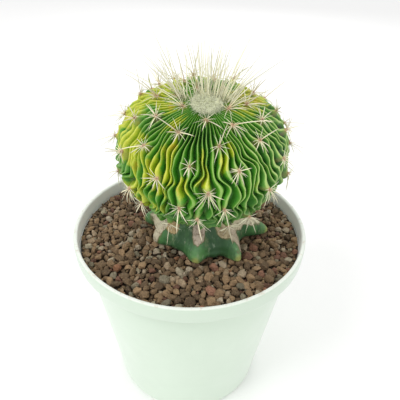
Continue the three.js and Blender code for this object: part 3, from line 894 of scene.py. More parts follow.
# Each cluster pushes the ribs aside and swells its own, which is carried aside to meet it
PUSH, PUSH_WIDTH, PUSH_HEIGHT = 1.6, 3.1, 4.6
SWELL, SWELL_WIDTH = 1.0, 2.1
CARRY_WIDTH, CARRY_HEIGHT, LARGEST_CARRY, CARRY_PASSES = 5.0, 8.0, 3.4, 4

# The ribs wander in slow waves (turns, drop, reach, start) and by noise
RIB_WAVES = ((5, 12, 0.6, 0.0), (11, -15, 0.5, 1.3), (9, 22, 0.3, 2.1))
WANDER = 1.2

# Where the ribs swing round towards the front on their way down: degrees, bearing, width
SWINGS = ((14, -153, 28), (-7, -26, 28))

# Spine clusters from the crown down: bearing, and degrees from the crown
CLUSTERS = (
    (-168, 13), (-86, 14), (-14, 15), (50, 15), (104, 15), (155, 18),
    (-163, 31), (-123, 28), (-75, 34), (-45, 24), (6, 27), (75, 27), (118, 27), (162, 32),
    (-175, 46), (-143, 48), (-101, 47), (-34, 43), (-11, 38), (29, 38), (60, 43), (100, 40), (138, 41),
    (-64, 53), (12, 54), (82, 54), (116, 53), (150, 54),
    (-158, 67), (-122, 62), (-87, 65), (-26, 67), (-1, 64), (36, 64), (66, 66), (98, 64), (132, 66),
    (166, 65),
    (-104, 79), (-77, 81), (-47, 77), (17, 79), (50, 79), (82, 80), (114, 79), (148, 80), (178, 79),
    (-140, 87), (-93, 89), (-20, 92), (6, 90), (34, 91), (70, 91), (102, 91), (134, 92), (165, 91),
    (-131, 97), (-60, 100), (-6, 103), (55, 102), (90, 101), (122, 102), (152, 102), (-165, 101),
    (-112, 113), (-72, 113), (-28, 114), (18, 114), (62, 113), (106, 114), (150, 113), (-158, 114),
)

# Yellow and cool green parts of the variegated skin: bearing, angle from the crown, half width
# and half height in degrees, and how strong
YELLOW_PATCHES = (
    (-160, 58, 26, 20, 1.0), (-178, 24, 16, 9, 1.0), (-136, 24, 10, 7, 0.95), (168, 54, 26, 24, 0.88),
    (-121, 40, 6, 11, 1.05), (-116, 54, 6, 10, 0.85), (-128, 62, 10, 14, 0.9), (-104, 62, 7, 9, 0.85),
    (-90, 44, 5, 12, 0.75), (-86, 56, 5, 8, 0.8), (-71, 46, 5, 11, 1.05), (-64, 37, 6, 8, 0.85),
    (-14, 23, 12, 6, 1.0), (10, 30, 26, 13, 1.15), (-92, 22, 10, 5, 0.5), (-136, 80, 12, 12, 0.8),
    (-118, 72, 8, 9, 0.6), (-36, 60, 6, 12, 0.4), (30, 46, 26, 13, 1.05), (-140, 98, 24, 13, 0.85),
    (158, 28, 22, 9, 0.9), (110, 58, 26, 24, 0.9), (30, 70, 12, 20, 0.5), (70, 84, 10, 14, 0.6),
    (132, 40, 20, 16, 1.0), (-128, 92, 22, 12, 0.7),
)
TEAL_PATCHES = (
    (-160, 34, 10, 8, 1.0), (-108, 27, 14, 6, 0.9), (-88, 25, 12, 5, 0.8), (-150, 80, 8, 8, 0.5),
    (-18, 62, 36, 30, 1.0),
)
PATCH_REACH = 0.85


def down_to(polar, high, low):
    """Goes from 0 to 1 between two angles from the crown, in degrees."""
    return smoothstep(polar, math.radians(high), math.radians(low))


def side_turn(azimuth, polar):
    """How far round the ribs of both sides have swung towards the front, in radians."""
    turn = sum(swing * toward(azimuth, bearing, wide) for swing, bearing, wide in SWINGS)
    return np.radians(turn) * down_to(polar, 38, 82)


def cluster_spots():
    """For every cluster: its rib's azimuth, its angle from the crown, its bearing and a carry."""
    spots = []
    for bearing, polar in CLUSTERS:
        aim, drop = math.radians(bearing), math.radians(polar)
        start = aim
        for _ in range(AIM_PASSES):
            start = aim - float(side_turn(np.array(start), drop))
        spots.append((round(start / PITCH) * PITCH, drop, aim, 0.0))
    return np.array(spots)


SPOTS = cluster_spots()


def to_pot(points):
    """Points of the globe's own frame in the pot's frame, in metres."""
    return (points @ GLOBE_TURN.T + GLOBE_CENTRE) * MM


def rib_noise(azimuth, polar, seed, likeness=8.0, drop=6.0):
    """Smooth noise that runs along the ribs, is even across each and passes in the furrows.

    A higher likeness sets neighbours further apart, and a higher drop changes faster downwards."""
    rib = azimuth / PITCH
    left = np.floor(rib)
    here, beside = (lumps(ring(r * PITCH, likeness, drop * polar), 1.0, seed) for r in (left, left + 1))
    return ramp_between(here, beside, smoothstep(rib - left, 0.22, 0.78))


def rib_flow(azimuth, polar):
    """How far the ribs are pushed sideways and swollen: they bow round each cluster."""
    grow, low = down_to(polar, 22, 60), down_to(polar, 62, 98)
    push = 1.5 * down_to(polar, 74, 102) * rib_noise(azimuth, polar, 17, 7, 13)
    push += WANDER * grow * (1 + 0.3 * low) * rib_noise(azimuth, polar, 3)
    for turns, drop, reach, start in RIB_WAVES:
        wave = np.sin(turns * azimuth + drop * polar + start)
        push += reach * (0.2 + 0.8 * grow) * (1 + 0.5 * low) * wave
    swell, near_cluster = np.zeros_like(azimuth), np.zeros_like(azimuth)
    for spot_azimuth, spot_polar, _, carry in SPOTS:
        across = wrapped(azimuth - spot_azimuth) * GLOBE_RADIUS * np.sin(polar)
        along = (polar - spot_polar) * (GLOBE_RADIUS + GLOBE_HALF_HEIGHT) / 2
        push += PUSH * (across / PUSH_WIDTH) * mound(across / PUSH_WIDTH, along / PUSH_HEIGHT)
        push += carry * mound(across / CARRY_WIDTH, along / CARRY_HEIGHT)
        near = mound(across / SWELL_WIDTH, along / SWELL_WIDTH)
        swell += SWELL * near
        near_cluster = np.maximum(near_cluster, near)
    return push, swell, near_cluster


def carry_ribs():
    """Works out how far each cluster's rib is carried aside to reach the cluster's bearing."""
    for _ in range(CARRY_PASSES):
        for spot in SPOTS:
            azimuth, polar, aim, carry = spot
            radius = GLOBE_RADIUS * math.sin(polar)
            share = max(float(smoothstep(radius, *RIB_FADE)), LEAST_RIB_FADE)
            push = rib_flow(np.array([azimuth]), np.array([polar]))[0][0]
            turned_to = azimuth + float(side_turn(np.array(azimuth), polar))
            missing = float(wrapped(aim - turned_to)) * radius / share - push
            spot[3] = min(max(carry + missing, -LARGEST_CARRY), LARGEST_CARRY)


carry_ribs()


def rib_depth(polar):
    from_base = smoothstep(math.pi - polar, math.radians(15), math.radians(60))
    return RIB_DEPTH * (0.1 + 0.9 * down_to(polar, 4, 42)) * (0.25 + 0.75 * from_base)


def skin_at(azimuth, polar, furrow, extra):
    """Places on the globe's skin and its outward directions, in the globe's own frame."""
    push, swell, _ = rib_flow(azimuth, polar)
    radius = GLOBE_RADIUS * np.sin(polar)
    fade = smoothstep(radius, *RIB_FADE)
    bearing = azimuth + side_turn(azimuth, polar) + fade * push / np.maximum(radius, 8)
    dip = np.where(polar < math.pi / 2, CROWN_DIP * np.exp(-((radius / CROWN_DIP_RADIUS) ** 2)), 0)
    points = ring(bearing, radius, GLOBE_HALF_HEIGHT * np.cos(polar) - dip)
    outward = unit(ring(bearing, np.sin(polar) / GLOBE_RADIUS, np.cos(polar) / GLOBE_HALF_HEIGHT))
    rise = fade * swell - furrow * rib_depth(polar) + extra
    return points + outward * rise[..., None], outward


def skin_relief(azimuth, polar):
    """How far the skin rises or sinks besides its furrows: knobbly ribs on an uneven globe."""
    grow = down_to(polar, 30, 62)
    knobbly = down_to(polar, 24, 46) * ramp_between(0.45, 1.0, toward(azimuth, LEFT_SIDE, 50))
    rise = 0.7 * grow * rib_noise(azimuth, polar, 11, 8, 4.5)
    rise += 0.95 * down_to(polar, 70, 112) * rib_noise(azimuth, polar, 13, 10, 9)
    rise += 0.95 * knobbly * rib_noise(azimuth, polar, 19, 14, 13)
    wide = ring(azimuth, GLOBE_RADIUS * np.sin(polar), RELIEF_HALF_HEIGHT * np.cos(polar))
    rise += 0.45 * lumps(wide, 6.5, 2) + 0.34 * lumps(wide, 2.2, 4) * grow
    rise += 1.5 * down_to(polar, 104, 124) * lumps(wide, 3.4, 6)
    behind = toward(azimuth, 88, 34) * bell(np.degrees(polar) - 60, 20)
    return rise * down_to(polar, 8, 30) - 0.45 - 1.7 * behind


def patch_share(patches, azimuth, polar):
    """How strongly patches of the skin's colour cover each place."""
    share = np.zeros_like(azimuth)
    for bearing, level, wide, high, strength in patches:
        along = bell(np.degrees(polar) - level, high * PATCH_REACH)
        share = np.maximum(share, strength * toward(azimuth, bearing, wide * PATCH_REACH) * along)
    return share


def ribbed_material(green, yellow):
    nodes = MaterialNodes("ribbed_skin")
    crest, tone, under = (nodes.attribute(name) for name in ("crest", "rib_tone", "underside"))
    streak = nodes.noise(420, 3, 0.6, nodes.attribute("rib_place", "Vector"))
    broken = nodes.noise(260, 3, 0.6)
    amount = nodes.attribute("yellow_patch") * 1.05 + (streak - 0.5) * 1.1 + (tone - 0.5) * 0.4
    amount = amount + (broken - 0.5) + (crest - 0.6) * 0.22 - under * 0.35
    yellowness = amount.span(0.4, 0.76)
    # Both ramps darken the furrows and lighten the crests: painted shade and painted highlight.
    greens = nodes.ramp(
        crest,
        (0.0, srgb(54, 118, 14)), (0.34, shade(green, 0.8)), (0.7, green), (0.92, srgb(100, 164, 44)),
    )
    yellows = nodes.ramp(
        crest,
        (0.0, srgb(92, 132, 6)), (0.34, shade(yellow, 0.76)), (0.7, yellow), (0.95, srgb(208, 214, 60)),
    )
    # The teal patches' cool dark green, strongest in the furrows: a patch colour with painted shade in the
    # furrows.
    cool = nodes.attribute("teal_patch") * crest.span(0.55, 0.96, 1, 0.35)
    pale = (tone.span(0.4, 1.0, 0, 0.35) - cool * 0.3).span(0, 1)
    # A thin light line along the crests, strongest at the front and near the crown: painted highlight.
    line = crest.span(0.9, 0.99) * nodes.attribute("crest_line")
    orange = nodes.noise(170, 3, 0.6).span(0.56, 0.7, 0, 0.5) * yellowness
    colour = nodes.layered(
        greens,
        (cool, srgb(16, 68, 20)),
        (pale, srgb(116, 172, 56)),
        (yellowness, yellows),
        (line, nodes.mix(yellowness, srgb(190, 218, 126), srgb(234, 234, 118))),
        (orange, srgb(218, 168, 62)),
        # Towards the underside the skin turns a duller, darker green and less yellow: painted shade under the
        # globe.
        (under * 0.55, srgb(62, 108, 58)),
        (nodes.attribute("near_cluster").span(0.5, 1) * 0.35, srgb(196, 160, 110)),
    )
    return nodes.fed(
        Base_Color=nodes.blotched(colour, shade(green, 0.7), 520.0, 0.22),
        Roughness=broken.span(0.3, 0.7, 0.38, 0.55),
        Normal=nodes.bump(nodes.noise(900, 3, 0.5), 0.12 * MM, 0.6),
    )


class CACTUS_OT_globe(bpy.types.Operator):
    """Builds the wavy-ribbed globe with its variegated skin"""

    bl_idname = "cactus.globe"
    bl_label = "Build globe"

    def execute(self, context):
        angles = [math.pi * i / SKIN_RINGS for i in reversed(range(SKIN_RINGS + 1))]
        half_round = [(math.sin(a), math.cos(a)) for a in angles]
        mesh = turned(half_round, RIB_COUNT * RIB_SAMPLES, "globe_skin")
        x, y, z = corners(mesh).T
        polar, azimuth = np.arccos(np.clip(z, -1, 1)), np.arctan2(y, x)
        rib = azimuth / PITCH
        sharpness = ramp_between(*RIB_SHARPNESS, smoothstep(polar, 0.3, 0.8))
        sharpness += 0.75 * rib_noise(azimuth, polar, 7, 9, 5) * smoothstep(polar, 0.5, 0.9)
        furrow = (2 * np.abs(rib - np.round(rib))) ** sharpness
        points, _ = skin_at(azimuth, polar, furrow, skin_relief(azimuth, polar))
        set_corners(mesh, to_pot(points))
        self.colour(mesh, azimuth, polar, np.round(rib), 1 - furrow)
        self.cut_foot(mesh)
        values = context.scene.cactus_plant
        skin = ribbed_material(tuple(values.green), tuple(values.yellow))
        finished(mesh, "globe_skin", skin, "ribbed_skin", "scion")
        return {"FINISHED"}

    def colour(self, mesh, azimuth, polar, rib, crest):
        """Paints what the skin's material needs to know of each place."""
        bearing = azimuth + side_turn(azimuth, polar)
        yellow, teal = (patch_share(patches, bearing, polar) for patches in (YELLOW_PATCHES, TEAL_PATCHES))
        # Where the crest highlight is painted: the front and a ring near the crown.
        crest_highlight_share = np.maximum(toward(azimuth, -25, 42), 0.8 * bell(np.degrees(polar) - 22, 12))
        lower_left = (azimuth < 0) * (1 - smoothstep(azimuth, math.radians(-142), math.radians(-108)))
        tones = np.array([scatter(int(r), 0, 21) for r in rib % RIB_COUNT])
        paint(
            mesh,
            crest=crest,
            yellow_patch=np.clip(yellow - 0.8 * teal, 0, None),
            teal_patch=teal,
            crest_line=0.2 + 0.8 * crest_highlight_share,
            near_cluster=rib_flow(azimuth, polar)[2],
            # underside marks where the skin paints shade under the globe, less at the lower left.
            underside=down_to(polar, 70, 100) * (1 - 0.75 * lower_left),
            rib_tone=ramp_between(rib % 2, tones, down_to(polar, 22, 44)),
            rib_place=ring(azimuth, GLOBE_RADIUS, 6.6 * polar) * MM,
        )

    def cut_foot(self, mesh):
        """Cuts the globe flat where it sits on the stock, and closes it."""
        bm = bmesh.new()
        bm.from_mesh(mesh)
        cut = bmesh.ops.bisect_plane(
            bm, geom=bm.verts[:] + bm.edges[:] + bm.faces[:], dist=1e-7,
            plane_co=(0, 0, GLOBE_CUT * MM), plane_no=(0, 0, 1), clear_inner=True,
        )
        rim = [e for e in cut["geom_cut"] if isinstance(e, bmesh.types.BMEdge)]
        bmesh.ops.edgeloop_fill(bm, edges=rim)
        bm.to_mesh(mesh)
        bm.free()


# ---------------------------------------------------------------- spines and wool

LONG_SPINE = 18.0
LOW_SPINE = 9.5
RADIAL_SPINES = 11
PAD_HAIRS = 9
HAIR_WIDTH = 0.13
PAD_SIZES = (0.52, 0.78)
PAD_STRETCH = (1.05, 1.35, 0.6)
PAD_HAIR_LENGTHS = (0.9, 1.5)
PAD_HAIR_STANDS = (20, 70)
FOOT_DEPTH = 0.15

# A cluster's own broad spines: heading, lift off the skin in degrees, and share of the length
CENTRAL_SPINES = ((6, 62, 1.0), (-46, 46, 0.8), (48, 44, 0.75))
SPINES_LEFT_OUT = 0.34
UPPER_TIER, MIDDLE_TIER = 30, 60
HEADING_SWAY, STAND_SWAY, BOW = 16, 10, 0.22
SPINE_LENGTH_SHARES = (0.82, 1.14)

# Thin side spines: share left out, least and most length and lift off the skin in degrees, and
# the tier down to which they are longer
SIDE_SPINES_LEFT_OUT = 0.1
SIDE_SPINE_LENGTHS = (2.6, 6.2)
SIDE_SPINE_STANDS = (12, 38)
LONGER_TIER, LONGER = 40, 1.25

# Broad spines listed for a cluster: heading from straight down, lift off the skin in
# degrees, and length
HAND_SPINES = {
    (-168, 13): ((-40, 44, 12), (10, 56, 15), (50, 60, 13), (-80, 50, 9), (-14, 40, 9),),
    (-14, 15): ((20, 50, 14), (-30, 48, 11), (50, 60, 15), (80, 60, 13), (0, 38, 9),),
    (50, 15): ((-30, 50, 19), (-12, 60, 13), (-144, 60, 16), (10, 56, 14), (30, 56, 12),),
    (155, 18): ((10, 66, 17), (-30, 52, 16), (40, 60, 15), (-70, 50, 12), (80, 60, 14), (0, 46, 12),),
    (-45, 24): ((50, 34, 17), (-72, 30, 10), (-24, 30, 8), (-132, 30, 5.5), (10, 30, 7),),
    (6, 27): ((30, 46, 13), (130, 50, 12), (-40, 40, 7), (70, 40, 12), (0, 30, 9),),
    (-123, 28): ((-94, 35, 14.5), (98, 30, 8.5), (14, 30, 6), (-60, 30, 5),),
    (-163, 31): ((-78, 30, 8), (68, 30, 10), (156, 30, 5.5), (-32, 30, 6.5), (-120, 30, 7),),
    (162, 32): ((-10, 58, 18), (2, 35, 9.5), (112, 65, 19), (130, 50, 12), (-40, 40, 9),),
    (-75, 34): ((150, 34, 11), (-30, 20, 5),),
    (-11, 38): ((66, 30, 7), (100, 30, 7), (10, 25, 5), (-106, 30, 8), (150, 34, 7),),
    (29, 38): ((74, 50, 8.5), (28, 50, 11), (150, 50, 8), (40, 40, 10), (-30, 36, 8),),
    (138, 41): ((-24, 50, 12), (-42, 50, 11.5), (-90, 50, 8.5), (170, 60, 10),),
    (-34, 43): ((80, 30, 10.5), (-20, 25, 6), (-86, 30, 8), (14, 25, 5), (-50, 30, 6),),
    (60, 43): ((-132, 50, 14), (12, 50, 13), (-60, 60, 12),),
    (-175, 46): ((-8, 50, 15), (30, 44, 11), (-80, 30, 9),),
    (-101, 47): ((12, 48, 6), (-20, 40, 5),),
    (-143, 48): ((-40, 30, 11), (-20, 25, 6.5), (-95, 30, 4.5), (100, 30, 6),),
    (-64, 53): ((90, 30, 5.5), (-126, 30, 4.5), (-60, 30, 6.5), (-42, 30, 6.5), (-2, 30, 6),),
    (12, 54): ((-164, 40, 14), (-136, 40, 12), (-148, 40, 10),),
    (-122, 62): ((-70, 25, 7), (0, 25, 5), (74, 30, 6.5), (30, 20, 5),),
    (-1, 64): ((46, 30, 14), (76, 30, 11), (32, 25, 7), (100, 40, 8),),
    (-87, 65): ((-42, 24, 9), (34, 24, 9), (72, 24, 7), (0, 30, 6),),
    (166, 65): ((-22, 30, 17), (-38, 30, 12), (-58, 30, 14), (164, 30, 11.5), (60, 30, 5),),
    (132, 66): ((174, 50, 12), (168, 50, 9),),
    (-158, 67): ((-55, 25, 13), (-48, 25, 12.5), (-34, 20, 8.5), (-76, 30, 5), (90, 26, 7),),
    (-26, 67): ((52, 20, 5), (74, 30, 5), (110, 30, 6), (20, 30, 7), (-108, 30, 8),),
    (-47, 77): ((10, 40, 9), (44, 30, 8), (-30, 30, 6),),
    (-104, 79): ((4, 38, 12), (38, 30, 8),),
    (-77, 81): ((8, 40, 12), (-30, 30, 8), (48, 30, 7),),
    (-140, 87): ((0, 30, 9), (-40, 30, 9), (40, 24, 6),),
    (-93, 89): ((14, 36, 13),),
    (-20, 92): ((56, 25, 9), (44, 25, 10), (-94, 30, 5.5), (10, 30, 6),),
    (-131, 97): ((-20, 40, 10), (30, 40, 8),),
}


class Cluster:
    """A spine cluster: its foot on the skin, and the directions outward, sideways and down."""

    def __init__(self, number, foot, outward, east):
        self.number, self.foot, self.outward, self.east = number, foot, outward, east
        self.down = np.cross(east, outward)
        self.tier = float(np.degrees(SPOTS[number, 1]))

    def way(self, heading, stand):
        """A direction from its heading, counted from straight down, and its lift off the skin."""
        heading, stand = math.radians(heading), math.radians(stand)
        flat = self.down * math.cos(heading) + self.east * math.sin(heading)
        return self.outward * math.sin(stand) + flat * math.cos(stand)

    def draw(self, n, purpose):
        return scatter(self.number, n, purpose)


def all_clusters():
    azimuth, polar, aim, _ = SPOTS.T
    relief = skin_relief(azimuth, polar) - FOOT_DEPTH
    feet, outward = skin_at(azimuth, polar, 0 * azimuth, relief)
    east = ring(aim + TURN / 4, 1, 0)
    return [Cluster(*parts) for parts in zip(range(len(SPOTS)), feet, outward, east)]


def hand_spines(cluster, level):
    """Heading, lift, length, bow outward, bow down and width of the listed spines."""
    bow = -ramp_between(0.2, 0.36, level)
    rows = HAND_SPINES.get(CLUSTERS[cluster.number], ())
    return [(heading, stand, length, bow, 0.06, 1.0) for heading, stand, length in rows]


def usual_spines(cluster, level):
    """The same for a cluster with no listed spines."""
    rows = []
    for n, (aside, stand, share) in enumerate(CENTRAL_SPINES):
        if n and cluster.draw(n, 6) < SPINES_LEFT_OUT:
            continue
        heading = aside
        if cluster.tier < UPPER_TIER:
            heading = 0.6 * aside
        elif cluster.tier < MIDDLE_TIER:
            heading = aside + 180
        heading += HEADING_SWAY * (2 * cluster.draw(n, 7) - 1)
        stand = stand + STAND_SWAY * (2 * cluster.draw(n, 11) - 1)
        length = share * ramp_between(LONG_SPINE, LOW_SPINE, level)
        length *= ramp_between(*SPINE_LENGTH_SHARES, cluster.draw(n, 8))
        bow = -BOW * (2 * cluster.draw(n, 12) - 0.6)
        rows.append((heading, stand, length, bow, 0.12 * level, ramp_between(1.0, 0.8, level)))
    return rows


def needle_shape(sides, cuts):
    """A tapered needle one unit long, with its sides split in rings."""
    bm = bmesh.new()
    bmesh.ops.create_cone(
        bm, cap_ends=True, segments=sides, radius1=1, radius2=0.12, depth=1,
        matrix=Matrix.Translation((0, 0, 0.5)),
    )
    long_edges = [e for e in bm.edges if abs(e.verts[0].co.z - e.verts[1].co.z) > 0.5]
    bmesh.ops.subdivide_edges(bm, edges=long_edges, cuts=cuts)
    mesh = mesh_from(bm, "needle")
    places = corners(mesh)
    along = places[:, 2]
    taper = np.where(along < 0.999, (1 - along**3.4) * 0.9 + 0.1, 0.06)
    set_corners(mesh, np.column_stack([unit(places[:, :2]) * taper[:, None], along]))
    return mesh


def needles(name, rows, look, sides, cuts):
    """A piece of needles that bow as they go.

    Each row holds a needle's foot, way, bow, length, width, flatness and side."""
    feet, ways, bows, lengths, widths, flats, asides = (np.array(column) for column in zip(*rows))
    count = len(rows)
    shape = needle_shape(sides, cuts)
    across, through, along = corners(shape).T[:, None, :, None]
    ways = unit(ways)
    side = unit(asides - ways * np.sum(asides * ways, 1, keepdims=True))
    wide = side * (0.5 * widths)[:, None]
    thick = np.cross(ways, side) * (0.5 * widths * flats)[:, None]
    body = (ways[:, None] * along + bows[:, None] * along**2) * lengths[:, None, None]
    body += wide[:, None] * across + thick[:, None] * through + feet[:, None]
    mesh = copies(shape, count, name)
    set_corners(mesh, to_pot(body.reshape(-1, 3)))
    tones = [scatter(i, count, 31) for i in range(count)]
    paint(mesh, along=np.tile(along.ravel(), count), tone=np.repeat(tones, len(shape.vertices)))
    bpy.data.meshes.remove(shape)
    finished(mesh, name, look, "wool_and_spines")


def spine_material(name, base, body, tip, rough):
    nodes = MaterialNodes(name)
    along, tone = nodes.attribute("along"), nodes.attribute("tone")
    links = {"Along": along, "Tone": tone, "Base": base, "Body": body, "Tip": tip}
    return nodes.fed(
        Base_Color=nodes.give("ShaderNodeGroup", "Colour", links, node_tree=fibre_group()),
        Roughness=rough,
        Normal=nodes.bump(nodes.noise(1400, 2, 0.6), 0.06 * MM, 0.5),
    )


def wool_material(name, dark, light):
    nodes = MaterialNodes(name)
    strands = nodes.noise(2400, 4, 0.7)
    tufts = strands * 0.5 + nodes.noise(620, 3, 0.6) * 0.5
    return nodes.fed(
        Base_Color=nodes.ramp(tufts, (0.34, dark), (0.52, light), (0.68, shade(light, 1.1))),
        Roughness=0.92,
        Normal=nodes.bump(strands, 0.3 * MM, 0.8),
    )


class CACTUS_OT_spines(bpy.types.Operator):
    """Sets a woolly pad, broad papery spines and thin side spines on every cluster"""

    bl_idname = "cactus.spines"
    bl_label = "Build spines"

    def execute(self, context):
        values = context.scene.cactus_plant
        clusters = all_clusters()
        self.broad(clusters, values.spine_width / MM, tuple(values.straw))
        self.fine(clusters, values.radial_width / MM)
        self.pads(clusters)
        self.pad_hairs(clusters)
        return {"FINISHED"}

    def broad(self, clusters, width, straw):
        rows = []
        for one in clusters:
            level = float(smoothstep(one.tier, 20, 95))
            spines = hand_spines(one, level) or usual_spines(one, level)
            for heading, stand, length, bow_out, bow_down, share in spines:
                way = one.way(heading, stand)
                bow = bow_out * one.outward + bow_down * one.down
                rows.append((one.foot, way, bow, length, width * share, 0.5, np.cross(way, one.outward)))
        look = spine_material("papery_spines", srgb(222, 190, 152), straw, srgb(206, 198, 166), 0.5)
        needles("broad_spines", rows, look, 5, 8)

    def fine(self, clusters, width):
        rows = []
        for one in clusters:
            hanging = float(smoothstep(one.tier, 44, 84))
            for n in range(RADIAL_SPINES):
                if one.draw(n, 14) < SIDE_SPINES_LEFT_OUT:
                    continue
                turn = 360 * (n + 0.9 * one.draw(n, 15)) / RADIAL_SPINES - 180
                heading = turn * (1 - 0.34 * hanging)
                length = ramp_between(*SIDE_SPINE_LENGTHS, one.draw(n, 17))
                if one.tier < LONGER_TIER:
                    length *= LONGER
                elif math.cos(math.radians(heading)) > 0.3:
                    length *= 1 + 0.3 * hanging
                way = one.way(heading, ramp_between(*SIDE_SPINE_STANDS, one.draw(n, 16)))
                bow = -0.2 * one.outward + 0.1 * one.down
                rows.append((one.foot, way, bow, length, width, 0.8, one.outward))
        colours = (srgb(226, 206, 164), srgb(250, 246, 214), srgb(252, 250, 232))
        needles("side_spines", rows, spine_material("side_spines", *colours, 0.5), 4, 3)

    def pads(self, clusters):
        bm = bmesh.new()
        bmesh.ops.create_icosphere(bm, subdivisions=2, radius=1)
        shape = mesh_from(bm, "pad")
        ball = corners(shape) * PAD_STRETCH
        pads = []
        for one in clusters:
            size = ramp_between(*PAD_SIZES, one.draw(3, 18))
            pad = ball @ np.array((one.east, one.down, one.outward)) * size
            pad += one.foot - 0.05 * one.outward
            pads.append(pad + 0.22 * lumps(pad, 0.55, 8)[:, None] * unit(pad - one.foot))
        mesh = copies(shape, len(pads), "areole_wool")
        bpy.data.meshes.remove(shape)
        set_corners(mesh, to_pot(np.concatenate(pads)))
        wool = wool_material("areole_wool", srgb(164, 128, 94), srgb(208, 178, 140))
        finished(mesh, "areole_wool", wool, "wool_and_spines")

    def pad_hairs(self, clusters):
        rows = []
        for one in clusters:
            foot, bow, side = one.foot + 0.3 * one.outward, -0.3 * one.outward, one.east + 0.1 * one.down
            for n in range(PAD_HAIRS):
                way = one.way(360 * one.draw(n, 22), ramp_between(*PAD_HAIR_STANDS, one.draw(n, 23)))
                length = ramp_between(*PAD_HAIR_LENGTHS, one.draw(n, 24))
                rows.append((foot, way, bow, length, HAIR_WIDTH, 1.0, side))
        colours = (srgb(192, 150, 120), srgb(214, 184, 156), srgb(226, 204, 180))
        needles("areole_hairs", rows, spine_material("wool_hairs", *colours, 0.8), 3, 2)


# ---------------------------------------------------------------- crown

CROWN_LEVEL = 23.4
WOOL_RADIUS = 5.9
WOOL_OVERLAP = 1.02
WOOL_CENTRE = (1.0, -0.2)
WOOL_FRONT = 0.86
WOOL_LEVEL = 24.0
WOOL_DEPTH = 3.0
WOOL_RISE = 1.7
WOOL_HAIRS = 620
WOOL_HAIR_LENGTHS = (1.2, 2.8)
CROWN_SPINE_WIDTHS = (0.24, 0.4)

# Bundles of crown spines: how many, where they stand (x, y, and how widely), which way they lean
# (x, y, and how differently) and how long the shortest and the longest are
CROWN_BUNDLES = (
    (28, (1.2, 3.4), (4.0, 2.2), (-0.02, 0.3), (0.36, 0.2), (17, 24)),
    (10, (-7.8, 2.0), (1.5, 1.6), (-0.46, 0.4), (0.34, 0.16), (15, 23)),
    (12, (7.4, 1.8), (1.6, 1.8), (0.6, 0.46), (0.5, 0.24), (16, 26)),
    (6, (-4.8, 2.2), (1.4, 2.4), (-0.2, 0.2), (0.4, 0.3), (7, 13)),
    (8, (5.6, 2.2), (1.5, 2.2), (0.25, 0.2), (0.4, 0.3), (8, 16)),
    (12, (9.4, 0.6), (1.8, 2.4), (1.1, 0.4), (0.6, 0.6), (8, 15)),
    (5, (-7.4, 2.6), (1.6, 1.4), (-1.0, 0.44), (0.82, 0.2), (23, 29)),
    (4, (7.2, 2.6), (1.6, 1.4), (0.94, 0.36), (0.82, 0.2), (23, 29)),
)


class CACTUS_OT_crown(bpy.types.Operator):
    """Builds the woolly crown and the fan of fine upright spines that rises from it"""

    bl_idname = "cactus.crown"
    bl_label = "Build crown"

    def execute(self, context):
        self.wool()
        self.hairs()
        self.fan()
        return {"FINISHED"}

    def wool(self):
        bm = bmesh.new()
        bmesh.ops.create_uvsphere(bm, u_segments=64, v_segments=32, radius=1)
        mesh = mesh_from(bm, "crown_wool")
        ball = corners(mesh)
        above = ball[:, 2] > 0
        body = ball * WOOL_RADIUS * WOOL_OVERLAP
        body[:, 2] = ball[:, 2] * np.where(above, WOOL_RISE, WOOL_DEPTH)
        dimple = 0.5 * bell(np.hypot(ball[:, 0], ball[:, 1]), 0.35) * above
        body[:, 2] += 0.35 * lumps(body, 1.6, 9) + 0.18 * lumps(body, 0.6, 11) - dimple
        body[:, :2] *= 1 + 0.05 * lumps(body, 2.5, 12)[:, None]
        body[:, 1] *= np.where(body[:, 1] < 0, WOOL_FRONT, 1)
        set_corners(mesh, to_pot(body + (*WOOL_CENTRE, WOOL_LEVEL)))
        wool = wool_material("crown_wool", srgb(190, 194, 160), srgb(224, 228, 194))
        finished(mesh, "crown_wool", wool, "wool_and_spines", "crown_tuft")

    def hairs(self):
        rows = []
        for n in range(WOOL_HAIRS):
            draws = np.array([scatter(n, step, 41) for step in range(5)])
            spread = math.sqrt((n + 0.5) / WOOL_HAIRS)
            outward = ring(n * GOLDEN_TURN, 1, 0)
            foot = np.array((*WOOL_CENTRE, WOOL_LEVEL)) + outward * spread * WOOL_RADIUS
            foot[2] += WOOL_RISE * math.sqrt(max(0, 1 - spread**2)) - 0.3
            way = outward * (0.3 + spread * 0.9) + (*(draws[:2] - 0.5), 0.75)
            bow = np.array((*(draws[2:4] - 0.5), -0.5)) * 0.9
            side = np.cross(outward, (0, 0, 1)) + 0.01
            length = ramp_between(*WOOL_HAIR_LENGTHS, draws[4])
            rows.append((foot, way, bow, length, HAIR_WIDTH, 1.0, side))
        colours = (srgb(198, 200, 170), srgb(224, 226, 198), srgb(234, 236, 214))
        needles("crown_hairs", rows, spine_material("crown_hairs", *colours, 0.85), 3, 3)

    def fan(self):
        rows = []
        for number, (count, stand, around, lean, unlike, lengths) in enumerate(CROWN_BUNDLES):
            for n in range(count):
                draws = np.array([scatter(n, step, 42 + number) for step in range(7)])
                aside = ring(n * GOLDEN_TURN, math.sqrt((n + 0.5) / count), 0)[:2]
                tilt = lean + (aside + draws[:2] - 0.5) * unlike
                rows.append((
                    (*(stand + aside * around), CROWN_LEVEL), (*tilt, 1.0), (*(0.12 * (draws[2:4] - 0.4)), 0),
                    ramp_between(*lengths, draws[4]), ramp_between(*CROWN_SPINE_WIDTHS, draws[5]), 0.6,
                    (1.0, 0.4 * draws[6] - 0.2, 0),
                ))
        colours = (srgb(226, 224, 190), srgb(236, 234, 204), srgb(212, 208, 180))
        needles("crown_spines", rows, spine_material("crown_spines", *colours, 0.5), 5, 7)


# ---------------------------------------------------------------- studio

